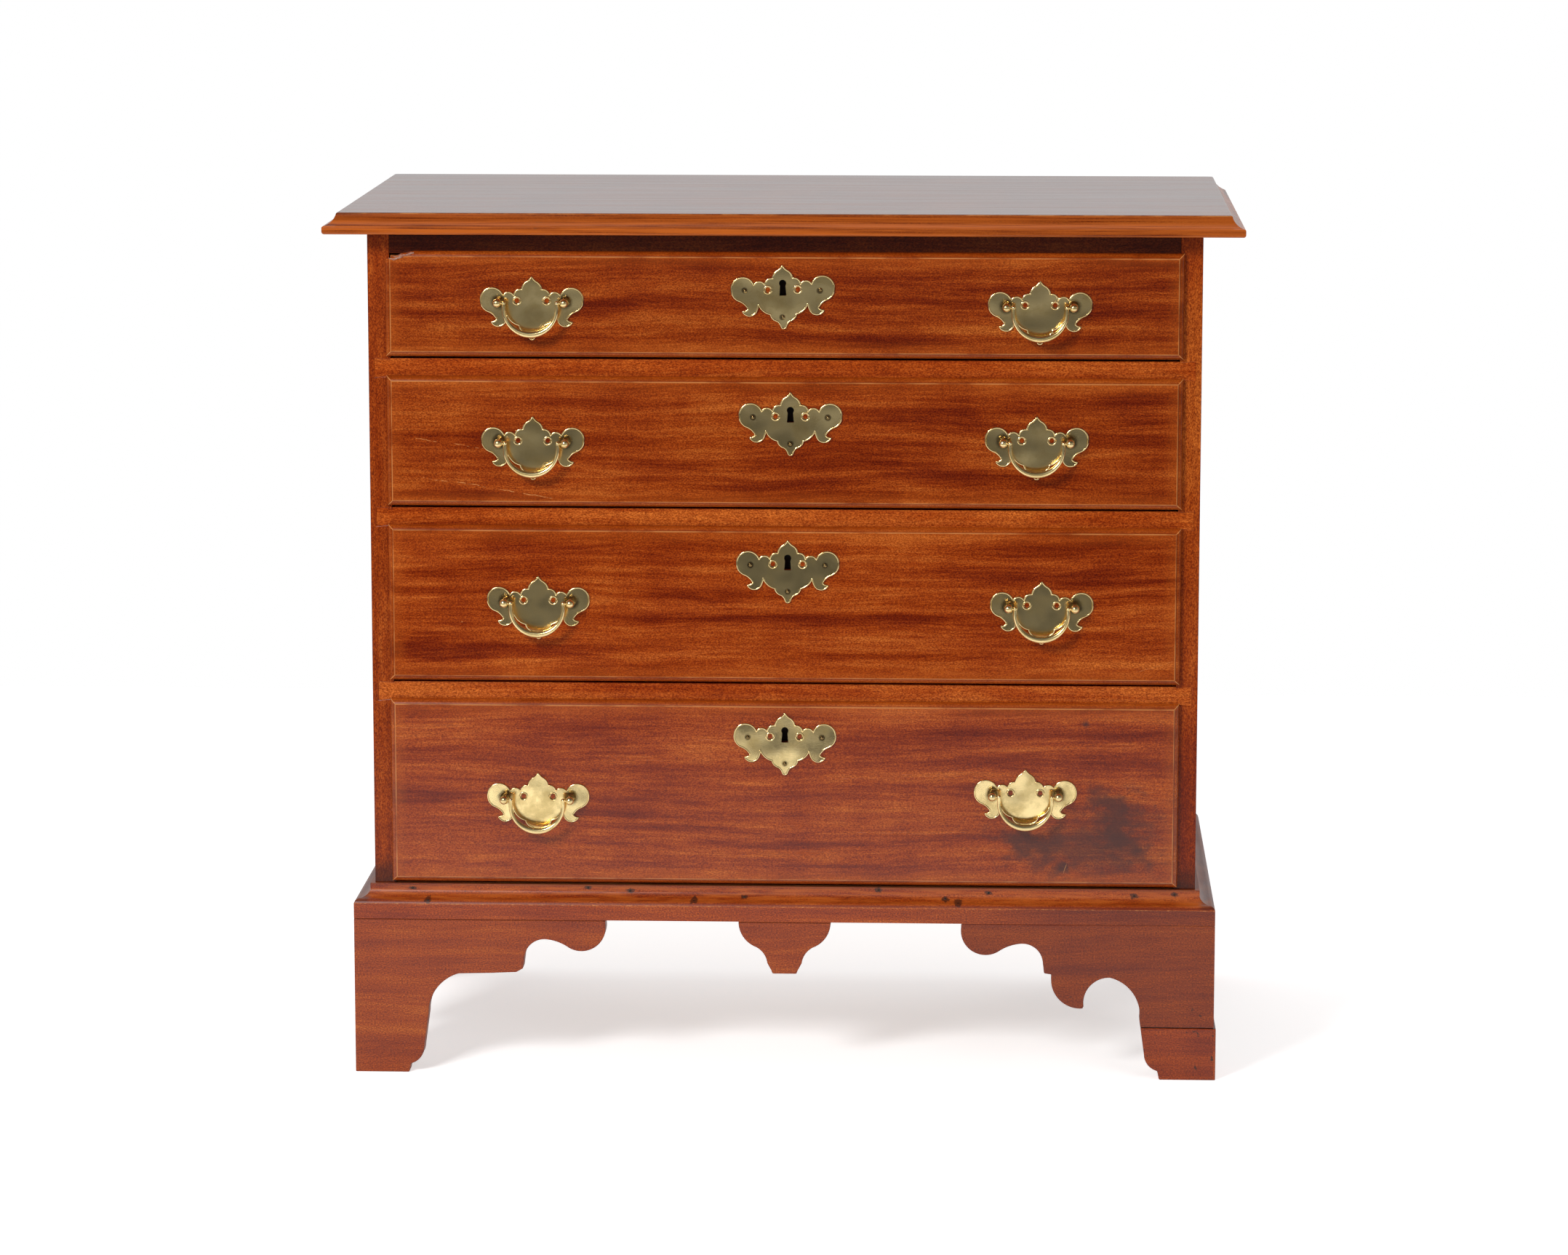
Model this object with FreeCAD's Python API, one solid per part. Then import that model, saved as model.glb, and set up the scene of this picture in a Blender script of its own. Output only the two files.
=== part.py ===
"""Four-drawer chest with lipped, graduated drawers on scrolled bracket feet.

Millimetres, +X to the chest's right, +Y to its back and +Z up. The origin is on the floor, under the
middle of the top board.
"""
import FreeCAD, Part
import math
import os
from collections import namedtuple

Vector = FreeCAD.Vector

# Case
CASE_WIDTH = 838.0
CASE_DEPTH = 462.0
SIDE_THICKNESS = 22.0
BOTTOM_THICKNESS = 20.0
BOTTOM_TAIL_COUNT = 6
RAIL_HEIGHT = 22.0
RAIL_DEPTH = 62.0
RAIL_TENON_LENGTH = 14.0
RAIL_TENON_SETBACK = 12.0
RAIL_TENON_WIDTH = 30.0
BACK_THICKNESS = 12.0
BACK_BOARD_COUNT = 4
BACK_BOARD_GAP = 0.5
BACK_RABBET = 11.0

# Drawer blades and runners
BLADE_THICKNESS = 20.0
BLADE_DEPTH = 62.0
BLADE_TAIL_SETBACK = 6.0
BLADE_TAIL_SHOULDER = 1.6
BLADE_TAIL_FLARE = 1.4
RUNNER_WIDTH = 34.0
RUNNER_END_GAP = 4.0

# Top board and its moulded edge
TOP_THICKNESS = 21.0
TOP_OVERHANG = 40.5
TOP_BACK_OVERHANG = 12.0
TOP_CORNER_ROUND = 22.0
TOP_NOSE_ROUND = 2.8
TOP_NOSE_HEIGHT = 6.3
TOP_BEAD_INSET = 1.6
TOP_BEAD_HEIGHT = 8.3
TOP_BEAD_SWELL = 0.5
TOP_EDGE_INSET = 15.0
TOP_COVE_SAG = 1.95
TOP_ARRIS_ROUND = 2.2

# Base moulding
BASE_PROJECTION = 20.0
BASE_FASCIA = 15.5
BASE_LEDGE_THICKNESS = 14.0
BASE_LEDGE_WIDTH = 32.0
BASE_TOP_WIDTH = 4.5
BASE_TOP_FILLET = 7.0
BASE_NOSE = 4.4
BASE_NOSE_SWELL = 0.9
BASE_COVE_SAG = 2.2
BASE_TOP_DROP = 0.3

# Feet and pendant
FOOT_HEIGHT = 161.0
FOOT_THICKNESS = 20.0
FOOT_PAD = 55.0
FOOT_PAD_HEIGHT = 9.0
SPLICE_HEIGHT = 54.5
SPLICE_GAP = 0.5
SPLICE_PROUD = 2.2
REAR_BRACKET_LENGTH = 130.0
CORNER_BLOCK = 34.0
CORNER_BLOCK_LIFT = 8.0
GLUE_BLOCK = 22.0
GLUE_BLOCK_LENGTH = 110.0
PENDANT_X = 1.5

# Drawer boxes
LIP_THICKNESS = 9.7
LIP_STOP_GAP = 0.3
LIP_SIDE_OVERLAP = 3.5
LIP_TOP_OVERLAP = 3.0
THUMB_WIDTH = 5.2
THUMB_FILLET = 1.1
THUMB_EDGE = 3.6
THUMB_SWELL = 1.15
FRONT_BODY = 14.0
FRONT_CLEARANCE = 2.5
SIDE_CLEARANCE = 1.5
TOP_CLEARANCE = 2.0
DRAWER_SIDE = 11.0
DRAWER_BACK = 10.0
DRAWER_SIDE_DROP = 3.0
DRAWER_BACK_DROP = 5.0
DRAWER_END_GAP = 10.0
GROOVE_DEPTH = 5.0
GROOVE_HEIGHT = 5.0
GROOVE_RISE = 10.0
PANEL_THICKNESS = 8.0
PANEL_BEVEL = 28.0
PANEL_CLEARANCE = 0.2
DOVETAIL_PITCH = 36.0
DOVETAIL_LAP = 9.0
DOVETAIL_SLOPE = 0.17
DOVETAIL_SHARE = 0.52

# Chipped upper left corner of the top drawer's lip
CHIP_LENGTH = 30.0
CHIP_HEIGHT = 8.5

# Brass plates, posts and bails
PLATE_THICKNESS = 1.6
EYELET_X = 15.0
EYELET_DROP = 24.1
EYELET_RADIUS = 2.4
EYELET_RIM_RADIUS = 3.9
EYELET_RIM_DEPTH = 1.1
POST_X = 33.5
POST_DROP = 25.0
POST_SHANK_RADIUS = 2.2
POST_FLANGE_RADIUS = 5.0
POST_FLANGE_HEIGHT = 3.0
POST_NECK_RADIUS = 2.7
POST_BALL_RADIUS = 4.25
POST_STANDOFF = 17.0
POST_HOLE_CLEARANCE = 0.2
NUT_SIZE = 9.0
NUT_THICKNESS = 3.2
SHANK_END = 2.0
BAIL_ARM_X = 26.6
BAIL_LEG = 6.0
BAIL_DROP = 31.6
BAIL_ARM_WIDTH = 3.8
BAIL_ARM_DEPTH = 3.8
BAIL_GRIP_HEIGHT = 6.8
BAIL_GRIP_DEPTH = 7.2
BAIL_KNUCKLE_RADIUS = 2.2
BAIL_PIN_RADIUS = 1.25
BAIL_PIN_CLEARANCE = 0.08
BAIL_PIN_END_GAP = 0.3
BAIL_SECTIONS = 12

# Escutcheon, keyhole and lock
KEYHOLE_DROP = 17.9
KEYHOLE_RADIUS = 3.6
KEYHOLE_FOOT_DROP = 30.2
KEYHOLE_NECK = 5.4
KEYHOLE_FOOT = 7.0
KEYHOLE_WOOD_SLACK = 0.6
ESCUTCHEON_PIN_X = 37.7
ESCUTCHEON_PIN_DROP = 25.0
ESCUTCHEON_FOOT_PIN_DROP = 51.9
ESCUTCHEON_PIN_RADIUS = 0.9
ESCUTCHEON_PIN_HEAD = 1.9
ESCUTCHEON_PIN_LENGTH = 9.0
LOCK_WIDTH = 64.0
LOCK_CASE_WIDTH = 48.0
LOCK_DEPTH = 10.0
LOCK_PLATE = 2.0
LOCK_WALL = 1.4
LOCK_FOOT = 6.0
KEY_CHAMBER_RADIUS = 9.5
BOLT_WIDTH = 26.0
BOLT_HEIGHT = 15.0
BOLT_CLEARANCE = 0.15
BOLT_TRAVEL = 8.0
STRIKE_SLACK = 1.2

# Nails and screws
NAIL_RADIUS = 1.2
NAIL_LENGTH = 34.0
NAIL_EDGE_SHARE = 0.2
NAIL_HEAD_RADIUS = 3.4
NAIL_HEAD_HEIGHT = 1.4
NAIL_CLEARANCE = 0.05
SCREW_X = 250.0
SCREW_RADIUS = 2.2
SCREW_HEAD_RADIUS = 4.6
SCREW_HEAD_HEIGHT = 3.0
SCREW_SINK = 5.0
SCREW_BITE = 12.0

# Each drawer from the top down: lip height, then the hand-set places of its brasses. A pull has its x and
# the rise of its peak over mid-height, the escutcheon its x, the drop of its peak from the lip and its tilt.
Drawer = namedtuple("Drawer", "height left_pull right_pull escutcheon tilt")
DRAWERS = [
    Drawer(106.3, (-252.5, 28.2), (256.7, 25.7), (-0.7, 12.7), -1.4),
    Drawer(131.9, (-252.5, 25.5), (254.4, 28.1), (7.1, 14.7), 0.0),
    Drawer(159.4, (-248.2, 28.1), (260.7, 26.0), (4.4, 13.3), 0.0),
    Drawer(189.3, (-249.8, 19.6), (245.6, 27.0), (1.5, 11.2), 0.0),
]

# How far a quarter round stands off its chord, as a share of its radius
QUARTER_SAG = 1 - math.sqrt(0.5)

# Places that follow from the sizes above
CASE_HALF = CASE_WIDTH / 2
OPENING_HALF = CASE_HALF - SIDE_THICKNESS
TOP_DEPTH = TOP_OVERHANG + CASE_DEPTH + TOP_BACK_OVERHANG
FRONT_Y = TOP_OVERHANG - TOP_DEPTH / 2
BACK_Y = FRONT_Y + CASE_DEPTH
BACK_INNER_Y = BACK_Y - BACK_THICKNESS
CASE_BOTTOM_Z = FOOT_HEIGHT + BASE_LEDGE_THICKNESS
CASE_FLOOR_Z = CASE_BOTTOM_Z + BOTTOM_THICKNESS
BASE_HALF = CASE_HALF + BASE_PROJECTION
BASE_FRONT_Y = FRONT_Y - BASE_PROJECTION
BASE_TOP_Z = CASE_FLOOR_Z - BASE_TOP_DROP

LIP_BACK_Y = FRONT_Y - LIP_STOP_GAP
FACE_Y = LIP_BACK_Y - LIP_THICKNESS
BODY_BACK_Y = FRONT_Y + FRONT_BODY
BODY_HALF = OPENING_HALF - SIDE_CLEARANCE
LIP_HALF = OPENING_HALF + LIP_SIDE_OVERLAP
DRAWER_END_Y = BACK_INNER_Y - DRAWER_END_GAP
PLATE_FACE_Y = FACE_Y - PLATE_THICKNESS
PIVOT_Y = PLATE_FACE_Y - POST_STANDOFF

Opening = namedtuple("Opening", "floor ceiling lip_bottom lip_top body_top")


def stack_openings():
    """The drawer openings, from the top drawer down, worked out from the case floor up."""
    openings = []
    floor = CASE_FLOOR_Z
    for drawer in reversed(DRAWERS):
        lip_bottom = floor + FRONT_CLEARANCE
        lip_top = lip_bottom + drawer.height
        ceiling = lip_top - LIP_TOP_OVERLAP
        openings.insert(0, Opening(floor, ceiling, lip_bottom, lip_top, ceiling - TOP_CLEARANCE))
        floor = ceiling + BLADE_THICKNESS
    return openings


OPENINGS = stack_openings()
RAIL_BOTTOM_Z = OPENINGS[0].ceiling
TOP_UNDER_Z = RAIL_BOTTOM_Z + RAIL_HEIGHT


def block(x, y, z):
    """A rectangular block between a pair of limits along each axis."""
    return Part.makeBox(x[1] - x[0], y[1] - y[0], z[1] - z[0], Vector(x[0], y[0], z[0]))


def on_front(y):
    """Lays (x, z) points on a plane that faces the front."""
    return lambda x, z: Vector(x, y, z)


def on_side(x):
    """Lays (y, z) points on a plane that faces the side."""
    return lambda y, z: Vector(x, y, z)


def on_plan(z):
    """Lays (x, y) points on a level plane."""
    return lambda x, y: Vector(x, y, z)


def is_arc(step):
    """A path's step is the end of a straight run, or the middle and the end of an arc."""
    return isinstance(step[0], tuple)


def moved(path, change):
    """A path with each of its points changed."""
    return [tuple(change(*point) for point in step) if is_arc(step) else change(*step) for step in path]


def bow(start, end, sag):
    """An arc from start to end, whose middle stands off the straight line by sag, to the left."""
    run = (end[0] - start[0], end[1] - start[1])
    length = math.hypot(*run)
    half_way = ((start[0] + end[0]) / 2, (start[1] + end[1]) / 2)
    middle = (half_way[0] - sag * run[1] / length, half_way[1] + sag * run[0] / length)
    return middle, end


def run_back(start, path):
    """The steps of a path taken backwards, from its end to its start."""
    ends = [start] + [step[1] if is_arc(step) else step for step in path]
    steps = list(zip(path, ends))
    return [(step[0], end) if is_arc(step) else end for step, end in reversed(steps)]


def both_halves(start, half):
    """The path of a symmetric outline from its right half, which starts and ends on the middle line."""
    return half + moved(run_back(start, half), lambda across, up: (-across, up))


def prism(start, path, place, push):
    """The outline from start along path and straight back, pushed out into a solid."""
    edges = []
    here = start
    last = path[-1][1] if is_arc(path[-1]) else path[-1]
    closing = [] if math.dist(last, start) < 1e-6 else [start]
    for step in path + closing:
        if is_arc(step):
            edges.append(Part.Arc(place(*here), place(*step[0]), place(*step[1])).toShape())
            here = step[1]
        else:
            edges.append(Part.makeLine(place(*here), place(*step)))
            here = step
    return Part.Face(Part.Wire(edges)).extrude(push)


def rod(radius, start, end):
    """A round rod between two points."""
    return Part.makeCylinder(radius, (end - start).Length, start, end - start)


def mirrored(shape):
    """The same piece on the other side of the chest."""
    return shape.mirror(Vector(0, 0, 0), Vector(1, 0, 0))


def top_edge():
    """The moulded edge from underside to top face, as inset from the nose and height over the underside."""
    under = (TOP_NOSE_ROUND, 0.0)
    nose = (0.0, TOP_NOSE_ROUND)
    crown = (0.0, TOP_NOSE_HEIGHT)
    bead = (TOP_BEAD_INSET, TOP_BEAD_HEIGHT)
    arris = (TOP_EDGE_INSET, TOP_THICKNESS)
    cove = (TOP_EDGE_INSET - TOP_ARRIS_ROUND, TOP_THICKNESS - TOP_ARRIS_ROUND)
    path = [
        bow(under, nose, QUARTER_SAG * TOP_NOSE_ROUND),
        crown,
        bow(crown, bead, TOP_BEAD_SWELL),
        bow(bead, cove, -TOP_COVE_SAG),
        bow(cove, arris, QUARTER_SAG * TOP_ARRIS_ROUND),
    ]
    return under, path


def top_board():
    """The top, moulded along its front and both ends."""
    half = CASE_HALF + TOP_OVERHANG
    front = FRONT_Y - TOP_OVERHANG
    back = front + TOP_DEPTH
    top = TOP_UNDER_Z + TOP_THICKNESS
    start, edge = top_edge()

    def front_place(inset, rise):
        return front + inset, TOP_UNDER_Z + rise

    def right_place(inset, rise):
        return half - inset, TOP_UNDER_Z + rise

    def left_place(inset, rise):
        return inset - half, TOP_UNDER_Z + rise

    length_path = moved(edge, front_place) + [(back, top), (back, TOP_UNDER_Z)]
    length = prism(front_place(*start), length_path, on_side(-half), Vector(2 * half, 0, 0))
    over = [left_place(TOP_EDGE_INSET, TOP_THICKNESS)] + moved(run_back(start, edge), left_place)
    across_path = moved(edge, right_place) + over
    across = prism(right_place(*start), across_path, on_front(front), Vector(0, TOP_DEPTH, 0))
    turn = half - TOP_CORNER_ROUND
    sag = QUARTER_SAG * TOP_CORNER_ROUND
    corner = (half, back - TOP_CORNER_ROUND)
    plan = [(half, front), corner, bow(corner, (turn, back), -sag), (-turn, back)]
    plan.append(bow((-turn, back), (-half, corner[1]), -sag))
    outline = prism((-half, front), plan, on_plan(TOP_UNDER_Z), Vector(0, 0, TOP_THICKNESS))
    board = length.common(across).common(outline)
    for x, y in screw_places():
        board = board.cut(rod(SCREW_RADIUS + NAIL_CLEARANCE, Vector(x, y, TOP_UNDER_Z),
                              Vector(x, y, TOP_UNDER_Z + SCREW_BITE)))
    return board


def blade(opening, drawer):
    """The rail over an opening, with a dovetail let into each side, and a mortise for that drawer's bolt."""
    low = opening.ceiling
    high = low + BLADE_THICKNESS
    tip = CASE_HALF - BLADE_TAIL_SETBACK
    neck = BLADE_TAIL_SHOULDER
    end = BLADE_TAIL_SHOULDER - BLADE_TAIL_FLARE
    right = [
        (OPENING_HALF, high),
        (OPENING_HALF, high - neck),
        (tip, high - end),
        (tip, low + end),
        (OPENING_HALF, low + neck),
        (OPENING_HALF, low),
        (0.0, low),
    ]
    outline = both_halves((0.0, high), right)
    bar = prism((0.0, high), outline, on_front(FRONT_Y), Vector(0, BLADE_DEPTH, 0))
    return bar.cut(strike_mortise(opening, drawer))


def bolt_limits():
    """The front and back of the lock bolt."""
    low = BODY_BACK_Y - LOCK_DEPTH + LOCK_WALL + BOLT_CLEARANCE
    high = BODY_BACK_Y - LOCK_PLATE - BOLT_CLEARANCE
    return low, high


def strike_mortise(opening, drawer):
    """The space over an opening that the thrown bolt enters."""
    reach = BOLT_WIDTH / 2 + STRIKE_SLACK
    low, high = bolt_limits()
    depth = BOLT_TRAVEL - TOP_CLEARANCE + STRIKE_SLACK
    x = drawer.escutcheon[0]
    return block((x - reach, x + reach), (low - STRIKE_SLACK, high + STRIKE_SLACK),
                 (opening.ceiling, opening.ceiling + depth))


def drawer_blades():
    """The three rails between the drawers."""
    return [blade(opening, drawer) for opening, drawer in zip(OPENINGS[1:], DRAWERS[1:])]


def top_rails():
    """The front and rear rails under the top, tenoned into the sides and bored for the top's screws."""
    rails = []
    for front in (FRONT_Y, BACK_INNER_Y - RAIL_DEPTH):
        z = (RAIL_BOTTOM_Z, TOP_UNDER_Z)
        rail = block((-OPENING_HALF, OPENING_HALF), (front, front + RAIL_DEPTH), z)
        tenon = OPENING_HALF + RAIL_TENON_LENGTH
        y = (front + RAIL_TENON_SETBACK, front + RAIL_TENON_SETBACK + RAIL_TENON_WIDTH)
        rails.append(rail.fuse(block((-tenon, tenon), y, z)).removeSplitter())
    rails[0] = rails[0].cut(strike_mortise(OPENINGS[0], DRAWERS[0]))
    return [rail.cut(Part.makeCompound([screw_hole(*place) for place in screw_places()])) for rail in rails]


def screw_places():
    """Where the top's screws stand, two in each top rail."""
    rows = (FRONT_Y + RAIL_DEPTH / 2, BACK_INNER_Y - RAIL_DEPTH / 2)
    return [(x, y) for y in rows for x in (-SCREW_X, SCREW_X)]


def screw_hole(x, y):
    """The counterbored hole that a screw passes through in a rail."""
    sink = Vector(x, y, RAIL_BOTTOM_Z + SCREW_SINK)
    bore = rod(SCREW_HEAD_RADIUS + NAIL_CLEARANCE, Vector(x, y, RAIL_BOTTOM_Z), sink)
    return bore.fuse(rod(SCREW_RADIUS + NAIL_CLEARANCE, sink, Vector(x, y, TOP_UNDER_Z)))


def top_screw(x, y):
    """A screw with its head sunk in the rail and its shank in the top."""
    sink = RAIL_BOTTOM_Z + SCREW_SINK
    head = rod(SCREW_HEAD_RADIUS, Vector(x, y, sink - SCREW_HEAD_HEIGHT), Vector(x, y, sink))
    return head.fuse(rod(SCREW_RADIUS, Vector(x, y, sink), Vector(x, y, TOP_UNDER_Z + SCREW_BITE)))


def drawer_runners():
    """A runner behind each end of each blade, and a kicker behind each end of the front top rail."""
    pieces = []
    x = (OPENING_HALF - RUNNER_WIDTH, OPENING_HALF)
    for opening in OPENINGS[:-1]:
        y = (FRONT_Y + BLADE_DEPTH, BACK_INNER_Y - RUNNER_END_GAP)
        pieces.append(block(x, y, (opening.floor - BLADE_THICKNESS, opening.floor)))
    kicker_y = (FRONT_Y + RAIL_DEPTH, BACK_INNER_Y - RAIL_DEPTH)
    pieces.append(block(x, kicker_y, (RAIL_BOTTOM_Z, TOP_UNDER_Z)))
    return pieces + [mirrored(piece) for piece in pieces]


def tail_outlines(low, high, count, root, tip):
    """Dovetails in a row from low to high, narrow at root and wide at tip, as (across, along) outlines."""
    pitch = (high - low) / count
    flare = DOVETAIL_SLOPE * abs(tip - root)
    outlines = []
    for index in range(count):
        middle = low + (index + 0.5) * pitch
        narrow = DOVETAIL_SHARE * pitch / 2
        wide = narrow + flare
        lower = [(root, middle - narrow), (tip, middle - wide)]
        outlines.append(lower + [(tip, middle + wide), (root, middle + narrow)])
    return outlines


def bottom_board():
    """The case bottom, dovetailed through both sides, where the base moulding covers the joints."""
    z = (CASE_BOTTOM_Z, CASE_FLOOR_Z)
    board = block((-OPENING_HALF, OPENING_HALF), (FRONT_Y, BACK_INNER_Y), z)
    rise = Vector(0, 0, BOTTOM_THICKNESS)
    for root, tip in ((OPENING_HALF, CASE_HALF), (-OPENING_HALF, -CASE_HALF)):
        for outline in tail_outlines(FRONT_Y, BACK_INNER_Y, BOTTOM_TAIL_COUNT, root, tip):
            board = board.fuse(prism(outline[0], outline[1:], on_plan(CASE_BOTTOM_Z), rise))
    return board.removeSplitter()


def nail_places():
    """Where the back boards are nailed, as x and z."""
    x = OPENING_HALF + BACK_RABBET / 2
    pitch = (TOP_UNDER_Z - CASE_BOTTOM_Z) / BACK_BOARD_COUNT
    shares = (NAIL_EDGE_SHARE, 1 - NAIL_EDGE_SHARE)
    steps = [index + share for index in range(BACK_BOARD_COUNT) for share in shares]
    heights = [CASE_BOTTOM_Z + step * pitch for step in steps]
    return [(side, z) for side in (-x, x) for z in heights]


def back_nail(x, z):
    """A nail driven through a back board into the side, with a low cone for its head."""
    seat = Vector(x, BACK_Y, z)
    shank = rod(NAIL_RADIUS, seat, Vector(x, BACK_Y - NAIL_LENGTH, z))
    head = Part.makeCone(NAIL_HEAD_RADIUS, NAIL_RADIUS, NAIL_HEAD_HEIGHT, seat, Vector(0, 1, 0))
    return shank.fuse(head)


def nail_holes():
    """The holes that the back nails leave."""
    radius = NAIL_RADIUS + NAIL_CLEARANCE
    end = BACK_Y - NAIL_LENGTH
    return Part.makeCompound([rod(radius, Vector(x, BACK_Y, z), Vector(x, end, z)) for x, z in nail_places()])


def case_fasteners():
    """The nails of the back and the screws of the top."""
    nails = [back_nail(*place) for place in nail_places()]
    return nails + [top_screw(*place) for place in screw_places()]


def back_boards():
    """Level boards, one over the other, in the rabbets of the sides."""
    half = OPENING_HALF + BACK_RABBET
    pitch = (TOP_UNDER_Z - CASE_BOTTOM_Z) / BACK_BOARD_COUNT
    holes = nail_holes()
    boards = []
    for index in range(BACK_BOARD_COUNT):
        low = CASE_BOTTOM_Z + index * pitch
        gap = BACK_BOARD_GAP if index < BACK_BOARD_COUNT - 1 else 0.0
        boards.append(block((-half, half), (BACK_INNER_Y, BACK_Y), (low, low + pitch - gap)).cut(holes))
    return boards


def case_side(side, let_in):
    """A side, rabbeted for the back and cut for the pieces that are let into it."""
    x = sorted((side * OPENING_HALF, side * CASE_HALF))
    board = block(x, (FRONT_Y, BACK_Y), (CASE_BOTTOM_Z, TOP_UNDER_Z))
    rabbet_x = sorted((side * OPENING_HALF, side * (OPENING_HALF + BACK_RABBET)))
    board = board.cut(block(rabbet_x, (BACK_INNER_Y, BACK_Y), (CASE_BOTTOM_Z, TOP_UNDER_Z)))
    return board.cut(Part.makeCompound(let_in + [nail_holes()]))


def base_section():
    """The base moulding's section, as inset from its outer face and height over the feet."""
    top = BASE_TOP_Z - FOOT_HEIGHT
    shelf = BASE_PROJECTION - BASE_TOP_WIDTH
    arris = (0.0, BASE_FASCIA)
    nose = (BASE_NOSE, BASE_FASCIA + BASE_NOSE)
    cove = (shelf, top - BASE_TOP_FILLET)
    inner = BASE_PROJECTION + BASE_LEDGE_WIDTH
    path = [
        arris,
        bow(arris, nose, BASE_NOSE_SWELL),
        bow(nose, cove, -BASE_COVE_SAG),
        (shelf, top),
        (BASE_PROJECTION, top),
        (BASE_PROJECTION, BASE_LEDGE_THICKNESS),
        (inner, BASE_LEDGE_THICKNESS),
        (inner, 0.0),
    ]
    return (0.0, 0.0), path


def mitre_plan(depth, low, height):
    """Blocks that hold the front run and the right run of a mitred base, as wide as depth."""
    corner = (BASE_HALF, BASE_FRONT_Y)
    inner = (BASE_HALF - depth, BASE_FRONT_Y + depth)
    rise = Vector(0, 0, height)
    front_path = [corner, inner, (-inner[0], inner[1])]
    front = prism((-corner[0], corner[1]), front_path, on_plan(low), rise)
    right = prism(corner, [(BASE_HALF, BACK_Y), (inner[0], BACK_Y), inner], on_plan(low), rise)
    return front, right


def base_moulding():
    """The front and side mouldings, mitred at the front, with a ledge under the case, and the rear rail."""
    start, path = base_section()
    depth = BASE_PROJECTION + BASE_LEDGE_WIDTH

    def front_place(inset, rise):
        return BASE_FRONT_Y + inset, FOOT_HEIGHT + rise

    def right_place(inset, rise):
        return BASE_HALF - inset, FOOT_HEIGHT + rise

    front_plan, right_plan = mitre_plan(depth, FOOT_HEIGHT, BASE_TOP_Z - FOOT_HEIGHT)
    width = Vector(2 * BASE_HALF, 0, 0)
    front = prism(front_place(*start), moved(path, front_place), on_side(-BASE_HALF), width)
    front = front.common(front_plan)
    run = Vector(0, BACK_Y - BASE_FRONT_Y, 0)
    right = prism(right_place(*start), moved(path, right_place), on_front(BASE_FRONT_Y), run)
    right = right.common(right_plan)
    rear_x = BASE_HALF - depth
    rear = block((-rear_x, rear_x), (BACK_Y - depth, BACK_Y), (FOOT_HEIGHT, CASE_BOTTOM_Z))
    return [front, right, mirrored(right), rear]


def ankle():
    """The start of every bracket outline, as distance in from the outer corner and height over the floor."""
    curve = [(2.0, 0.0), ((11.5, 6.0), (15.6, 17.0)), (20.6, 53.0)]
    return [(FOOT_PAD, 0.0)] + moved(curve, lambda inset, rise: (FOOT_PAD + inset, FOOT_PAD_HEIGHT + rise))


def scroll(drop_points):
    """Scroll points, given as distance in and drop from the moulding, as distance in and height."""
    return moved(drop_points, lambda inset, drop: (inset, FOOT_HEIGHT - drop))


# Runs of the feet's scrolled outlines, and half of the pendant's, as distance in and drop from the moulding
WHOLE_ARCH = [((81.5, 72.5), (106.0, 55.0)), ((125.5, 63.2), (132.5, 85.0)), (133.6, 87.4),
              ((154.0, 81.5), (165.3, 52.2))]
BROKEN_ARCH = [((84.0, 73.0), (107.0, 57.0)), (140.0, 56.2), (166.0, 55.0)]
FRONT_SCROLL = [(173.0, 51.0), (174.6, 38.0), ((181.5, 25.5), (198.0, 20.6)), ((210.0, 23.6), (220.2, 29.2)),
                ((241.5, 31.0), (257.5, 3.0)), (257.5, 0.0), (0.0, 0.0)]
SIDE_SCROLL = [(173.0, 51.0), ((176.5, 19.0), (188.0, 0.0)), (0.0, 0.0)]
PENDANT_HALF = [(47.0, 0.0), ((42.5, 15.5), (29.0, 26.5)), ((21.5, 33.0), (17.6, 43.0)), (13.5, 50.5),
                (12.2, 54.0), (0.0, 54.0)]


def front_bracket(arch):
    """A right-hand front bracket's face, before its corner is mitred."""
    path = moved(ankle() + scroll(arch + FRONT_SCROLL), lambda inset, z: (BASE_HALF - inset, z))
    return prism((BASE_HALF, 0.0), path, on_front(BASE_FRONT_Y), Vector(0, FOOT_THICKNESS, 0))


def side_bracket(at_back):
    """A right-hand side bracket, which runs in from the front corner or from the back one."""
    path = ankle() + scroll(WHOLE_ARCH + SIDE_SCROLL)
    if at_back:
        start = (BACK_Y, 0.0)
        path = moved(path, lambda inset, z: (BACK_Y - inset, z))
    else:
        start = (BASE_FRONT_Y, 0.0)
        path = moved(path, lambda inset, z: (BASE_FRONT_Y + inset, z))
    return prism(start, path, on_side(BASE_HALF - FOOT_THICKNESS), Vector(FOOT_THICKNESS, 0, 0))


def front_foot(arch):
    """A right-hand front foot: the scrolled face and its return, mitred together."""
    front_plan, right_plan = mitre_plan(FOOT_THICKNESS, 0.0, FOOT_HEIGHT)
    return [front_bracket(arch).common(front_plan), side_bracket(False).common(right_plan)]


def spliced_front_foot():
    """The right front foot, whose lower end is a later piece that stands a little proud."""
    face, side = front_foot(WHOLE_ARCH)
    reach = BASE_HALF + SPLICE_PROUD
    tip_z = (0.0, SPLICE_HEIGHT - SPLICE_GAP)
    under = block((-reach, reach), (BASE_FRONT_Y, BACK_Y), tip_z)
    tip = face.common(under).fuse(side.common(under)).removeSplitter()
    side_run = side.common(under).BoundBox
    skin = block((BASE_HALF, reach), (BASE_FRONT_Y, side_run.YMin + FOOT_PAD), tip_z)
    above = block((-reach, reach), (BASE_FRONT_Y, BACK_Y), (SPLICE_HEIGHT, FOOT_HEIGHT))
    return [face.common(above), side.common(above), tip.fuse(skin).removeSplitter()]


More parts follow.
